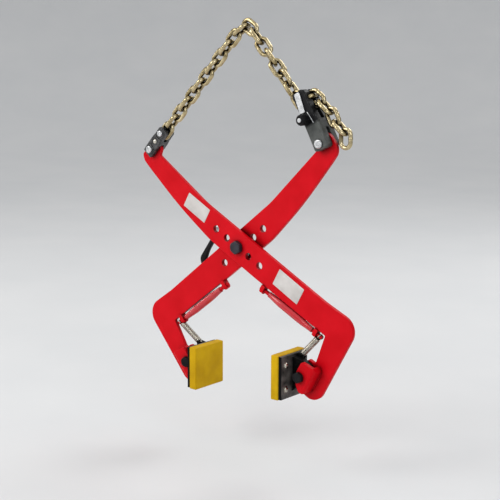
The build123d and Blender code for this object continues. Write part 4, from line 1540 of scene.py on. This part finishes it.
@dataclass(frozen=True)
class PlateWork(Work):
    """Front arm's trimmed plate with its bare labels, and the weld beads of both arms."""

    labels: tuple[Label, ...] = (Label(-120.0, 8.0, 60.0, 30.0), Label(134.0, 7.0, 64.0, 34.0))
    label_corner: float = 1.4
    label_edge: float = 0.5
    label_heights: Triple = (-0.1, 0.25, 0.45)
    corner_points: int = 9
    face: float = 4.0 * MM
    pin: Pair = (-271.0 * MM, 44.0 * MM)
    trim: Pair = (-0.9713, 0.2379)
    keep: float = 11.6 * MM
    foot_weld: Triple = (273.6 * MM, -87.0 * MM, -124.0 * MM)
    foot_level: float = 4.2 * MM
    lug_welds: tuple[float, ...] = (-20.0 * MM, -12.0 * MM, 117.0 * MM, 125.0 * MM)
    lug_weld: Pair = (8.6 * MM, 5.2 * MM)
    bead_points: int = 4
    bead_least: int = 12
    ripple: Pair = (0.13, 2.4)
    drift: Triple = (0.06, 1.3, 0.7)

    def build(self) -> None:
        """Makes the labels, the plate and the beads."""
        front = self.clamp.arms[0]
        for index, label in enumerate(self.labels):
            self.label(f"bare_label_{index + 1}", front, label)
        self.plate(front)
        for arm in self.clamp.arms:
            self.beads(arm)

    def plate(self, arm: Arm) -> None:
        """Makes an arm plate from its CAD mesh, with its upper end cut back by a plane beside the pin.

        The plane stands square on the plate, along the left leg, at a set distance from the pin's axis; what
        lies beyond it goes, and the cut is closed.

        Args:
            arm: the arm.
        """
        node = arm.named("arm")
        mesh = bpy.data.objects[node].data.copy()
        mesh.name = node + "_plate"
        work = bmesh.new()
        work.from_mesh(mesh)
        bmesh.ops.remove_doubles(work, verts=work.verts, dist=MERGE)
        normal = arm.place.x * self.trim[0] + arm.place.y * self.trim[1]
        spot = arm.place.point(*self.pin) + normal * self.keep
        whole = work.verts[:] + work.edges[:] + work.faces[:]
        cut = bmesh.ops.bisect_plane(work, geom=whole, plane_co=spot, plane_no=normal, clear_outer=True)
        edges = [part for part in cut["geom_cut"] if isinstance(part, bmesh.types.BMEdge)]
        bmesh.ops.edgenet_fill(work, edges=edges)
        bmesh.ops.recalc_face_normals(work, faces=work.faces)
        work.to_mesh(mesh)
        work.free()
        piece = add_piece(node + "_plate", mesh)
        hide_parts(node)
        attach(piece, arm.body)

    def label(self, name: str, arm: Arm, label: Label) -> None:
        """Makes a thin plate with round corners, bare of any print.

        The outline's direction outwards turns only at the corners, and the corner centres step round a
        rectangle. Rings of it shrink to the middle over a slightly rounded edge.

        Args:
            name: piece name.
            arm: arm that carries it.
            label: its middle and size.
        """
        corner = self.label_corner
        a, b = label.width / 2 - corner, label.height / 2 - corner
        centre = np.repeat(np.array(((a, b), (-a, b), (-a, -b), (a, -b))), self.corner_points, axis=0)
        quarters = [np.linspace(start, start + 90, self.corner_points) for start in (0, 90, 180, 270)]
        turn = np.radians(np.concatenate(quarters))
        way = np.stack((np.cos(turn), np.sin(turn)), axis=-1)
        outline = centre + corner * way
        inner = centre + (corner - self.label_edge) * way
        low, middle, top = self.label_heights
        layers = (
            (0 * inner, low), (outline, low), (outline, middle), (inner, top), (0.5 * inner, top), (0 * inner, top),
        )
        rings = [np.column_stack((ring, np.full(len(ring), rise))) for ring, rise in layers]
        place = arm.place.at(label.along * MM, label.out * MM, self.face)
        Surface(name).grid(place.world(np.stack(rings) * MM)).mount(self.finishes.label, arm.body)

    def beads(self, arm: Arm) -> None:
        """Makes the weld beads at the fork cheek's foot and at the sleeve's lugs.

        Args:
            arm: the arm.
        """
        surface = Surface(arm.named("weld_beads"))
        along, top, foot = self.foot_weld
        level = arm.face * self.foot_level
        self.bead(surface, arm.place.point(along, top, level), arm.place.point(along, foot, level), 1.3)
        deep, half = self.lug_weld
        for spot in self.lug_welds:
            self.bead(surface, arm.run.point(deep, -half, spot), arm.run.point(deep, half, spot), 1.0)
        surface.mount(self.plain(Slot.RED_PAINT), arm.body, sharp=70.0)

    def bead(self, surface: Surface, start: Array, end: Array, radius: float) -> None:
        """Adds one bead: a round bar half sunk in the corner, whose radius ripples along its length.

        The radius is multiplied by one plus a sine of the set height and length and a slower, smaller one, and
        the bar is drawn in at both ends.

        Args:
            surface: what it is added to.
            start: its first point.
            end: its last point.
            radius: its radius, millimetres.
        """
        length = float(np.linalg.norm(end - start)) / MM
        share = np.linspace(0.0, 1.0, max(self.bead_least, int(length * self.bead_points)))
        run = share * length
        height, wave = self.ripple
        drift, pace, lead = self.drift
        ripple = 1 + height * np.sin(run * 2 * pi / wave) + drift * np.sin(run * pace + lead)
        path = start + share[:, None] * (end - start)
        surface.tube(path, radius * MM * ripple * drawn_in(share, 8), sides=14)


@dataclass(frozen=True)
class Lamp:
    """A soft elliptical area lamp."""

    name: str
    spot: Triple
    size: Pair
    power: float
    colour: Triple


@dataclass(frozen=True)
class Studio:
    """Pale floor, soft lamps and the photograph's view."""

    eye: Triple = (1.45726, -1.76785, 0.01418)
    azimuth: float = 39.207
    elevation: float = 10.271
    roll: float = 0.237
    lens: float = 89.32
    sensor: float = 36.0
    floor: float = -0.80
    floor_flat: float = 3.0
    floor_end: float = 9.0
    floor_rise: float = 3.6
    floor_tones: tuple[Triple, Triple] = ((0.60, 0.61, 0.62), (0.68, 0.68, 0.68))
    sky: tuple[tuple[float, Triple], ...] = (
        (0.0, (0.24, 0.245, 0.255)), (0.35, (0.36, 0.365, 0.375)), (1.0, (0.98, 0.99, 1.0)),
    )
    aim: Triple = (0.0, 0.0, -0.35)
    lamps: tuple[Lamp, ...] = (
        Lamp("key", (-1.7, -2.5, 1.7), (2.0, 2.0), 55.0, (1.0, 0.98, 0.95)),
        Lamp("left_streak", (-2.9, -0.6, 0.2), (0.35, 1.8), 10.0, (1.0, 0.99, 0.97)),
        Lamp("front_streak", (0.1, -3.0, 0.85), (0.35, 1.8), 8.0, (1.0, 0.99, 0.97)),
        Lamp("strip", (-1.95, -2.35, -0.25), (0.7, 2.6), 7.5, (1.0, 0.99, 0.97)),
        Lamp("fill", (2.8, -1.6, 0.8), (2.2, 2.2), 28.0, (0.95, 0.97, 1.0)),
        Lamp("rim", (0.3, 2.4, 1.6), (1.6, 1.6), 30.0, (1.0, 1.0, 1.0)),
    )

    def build(self) -> None:
        """Makes the floor, the lamps, the world and the camera."""
        self.ground()
        self.lights()
        self.surroundings()
        self.camera()

    def ground(self) -> None:
        """Makes the large pale floor under the clamp, turned up all round into a backdrop, with a faint mottle.

        The rise grows with the fourth power of the distance beyond the flat middle.
        """
        radius = np.linspace(0.0, self.floor_end, 46)[:, None]
        beyond = np.clip(radius - self.floor_flat, 0.0, None) / (self.floor_end - self.floor_flat)
        mesh = Surface("floor").grid(around(radius, circle(96), self.floor + self.floor_rise * beyond**4)).mesh()
        material = bpy.data.materials.new("floor")
        tree = NodeTree(material)
        dark, light = self.floor_tones
        mottle = tree.ramp(tree.noise(scale=3.0, detail=6.0), (0.0, dark), (1.0, light))
        shader = tree.node("BsdfPrincipled", {"Base Color": mottle, "Roughness": 0.75})
        tree.node("OutputMaterial", {"Surface": shader.outputs["BSDF"]})
        mesh.materials.append(material)
        mesh.shade_smooth()
        floor = bpy.data.objects.new("floor", mesh)
        bpy.context.scene.collection.objects.link(floor)

    def lights(self) -> None:
        """Makes the soft area lamps round the clamp, aimed at its middle."""
        target = Vector(self.aim)
        for lamp in self.lamps:
            data = bpy.data.lights.new("lamp_" + lamp.name, "AREA")
            data.shape = "ELLIPSE"
            data.size, data.size_y = lamp.size
            data.energy = lamp.power
            data.color = lamp.colour
            light = bpy.data.objects.new("lamp_" + lamp.name, data)
            light.location = lamp.spot
            light.rotation_euler = (target - Vector(lamp.spot)).to_track_quat("-Z", "Y").to_euler()
            bpy.context.scene.collection.objects.link(light)

    def surroundings(self) -> None:
        """Makes a world that is brighter overhead than at the sides."""
        world = bpy.data.worlds.new("studio")
        tree = NodeTree(world, "Generated")
        height = tree.node("SeparateXYZ", {"Vector": tree.space}).outputs["Z"]
        back = tree.node("Background", {"Color": tree.ramp(height, *self.sky)})
        tree.node("OutputWorld", {"Surface": back.outputs["Background"]})
        bpy.context.scene.world = world

    def camera(self) -> None:
        """Makes the camera at the photograph's view."""
        az, el, roll = radians(self.azimuth), radians(self.elevation), radians(self.roll)
        level = np.array((cos(az), sin(az), 0.0))
        back = np.array((sin(az) * cos(el), -cos(az) * cos(el), sin(el)))
        rise = np.cross(back, level)
        right = level * cos(roll) + rise * sin(roll)
        up = rise * cos(roll) - level * sin(roll)
        data = bpy.data.cameras.new("view")
        data.sensor_width = self.sensor
        data.lens = self.lens
        camera = bpy.data.objects.new("view", data)
        matrix = np.eye(4)
        matrix[:3, 0], matrix[:3, 1], matrix[:3, 2], matrix[:3, 3] = right, up, back, self.eye
        camera.matrix_world = Matrix(matrix.tolist())
        bpy.context.scene.collection.objects.link(camera)
        bpy.context.scene.camera = camera


WORKS: tuple[type[Work], ...] = (
    ChainWork, SpringWork, PivotWork, JawWork, PinWork, ClevisWork, ShortenerWork, HookWork, SleeveWork, PlateWork,
)


def main() -> None:
    """Loads the frame, dresses it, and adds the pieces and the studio."""
    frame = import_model()
    bpy.context.scene.view_settings.view_transform = "Standard"
    clamp = Clamp(frame)
    finishes = Finishes(clamp)
    finishes.dress(frame)
    for work in WORKS:
        work(clamp, finishes).build()
    Studio().build()


if __name__ == "__main__":
    main()
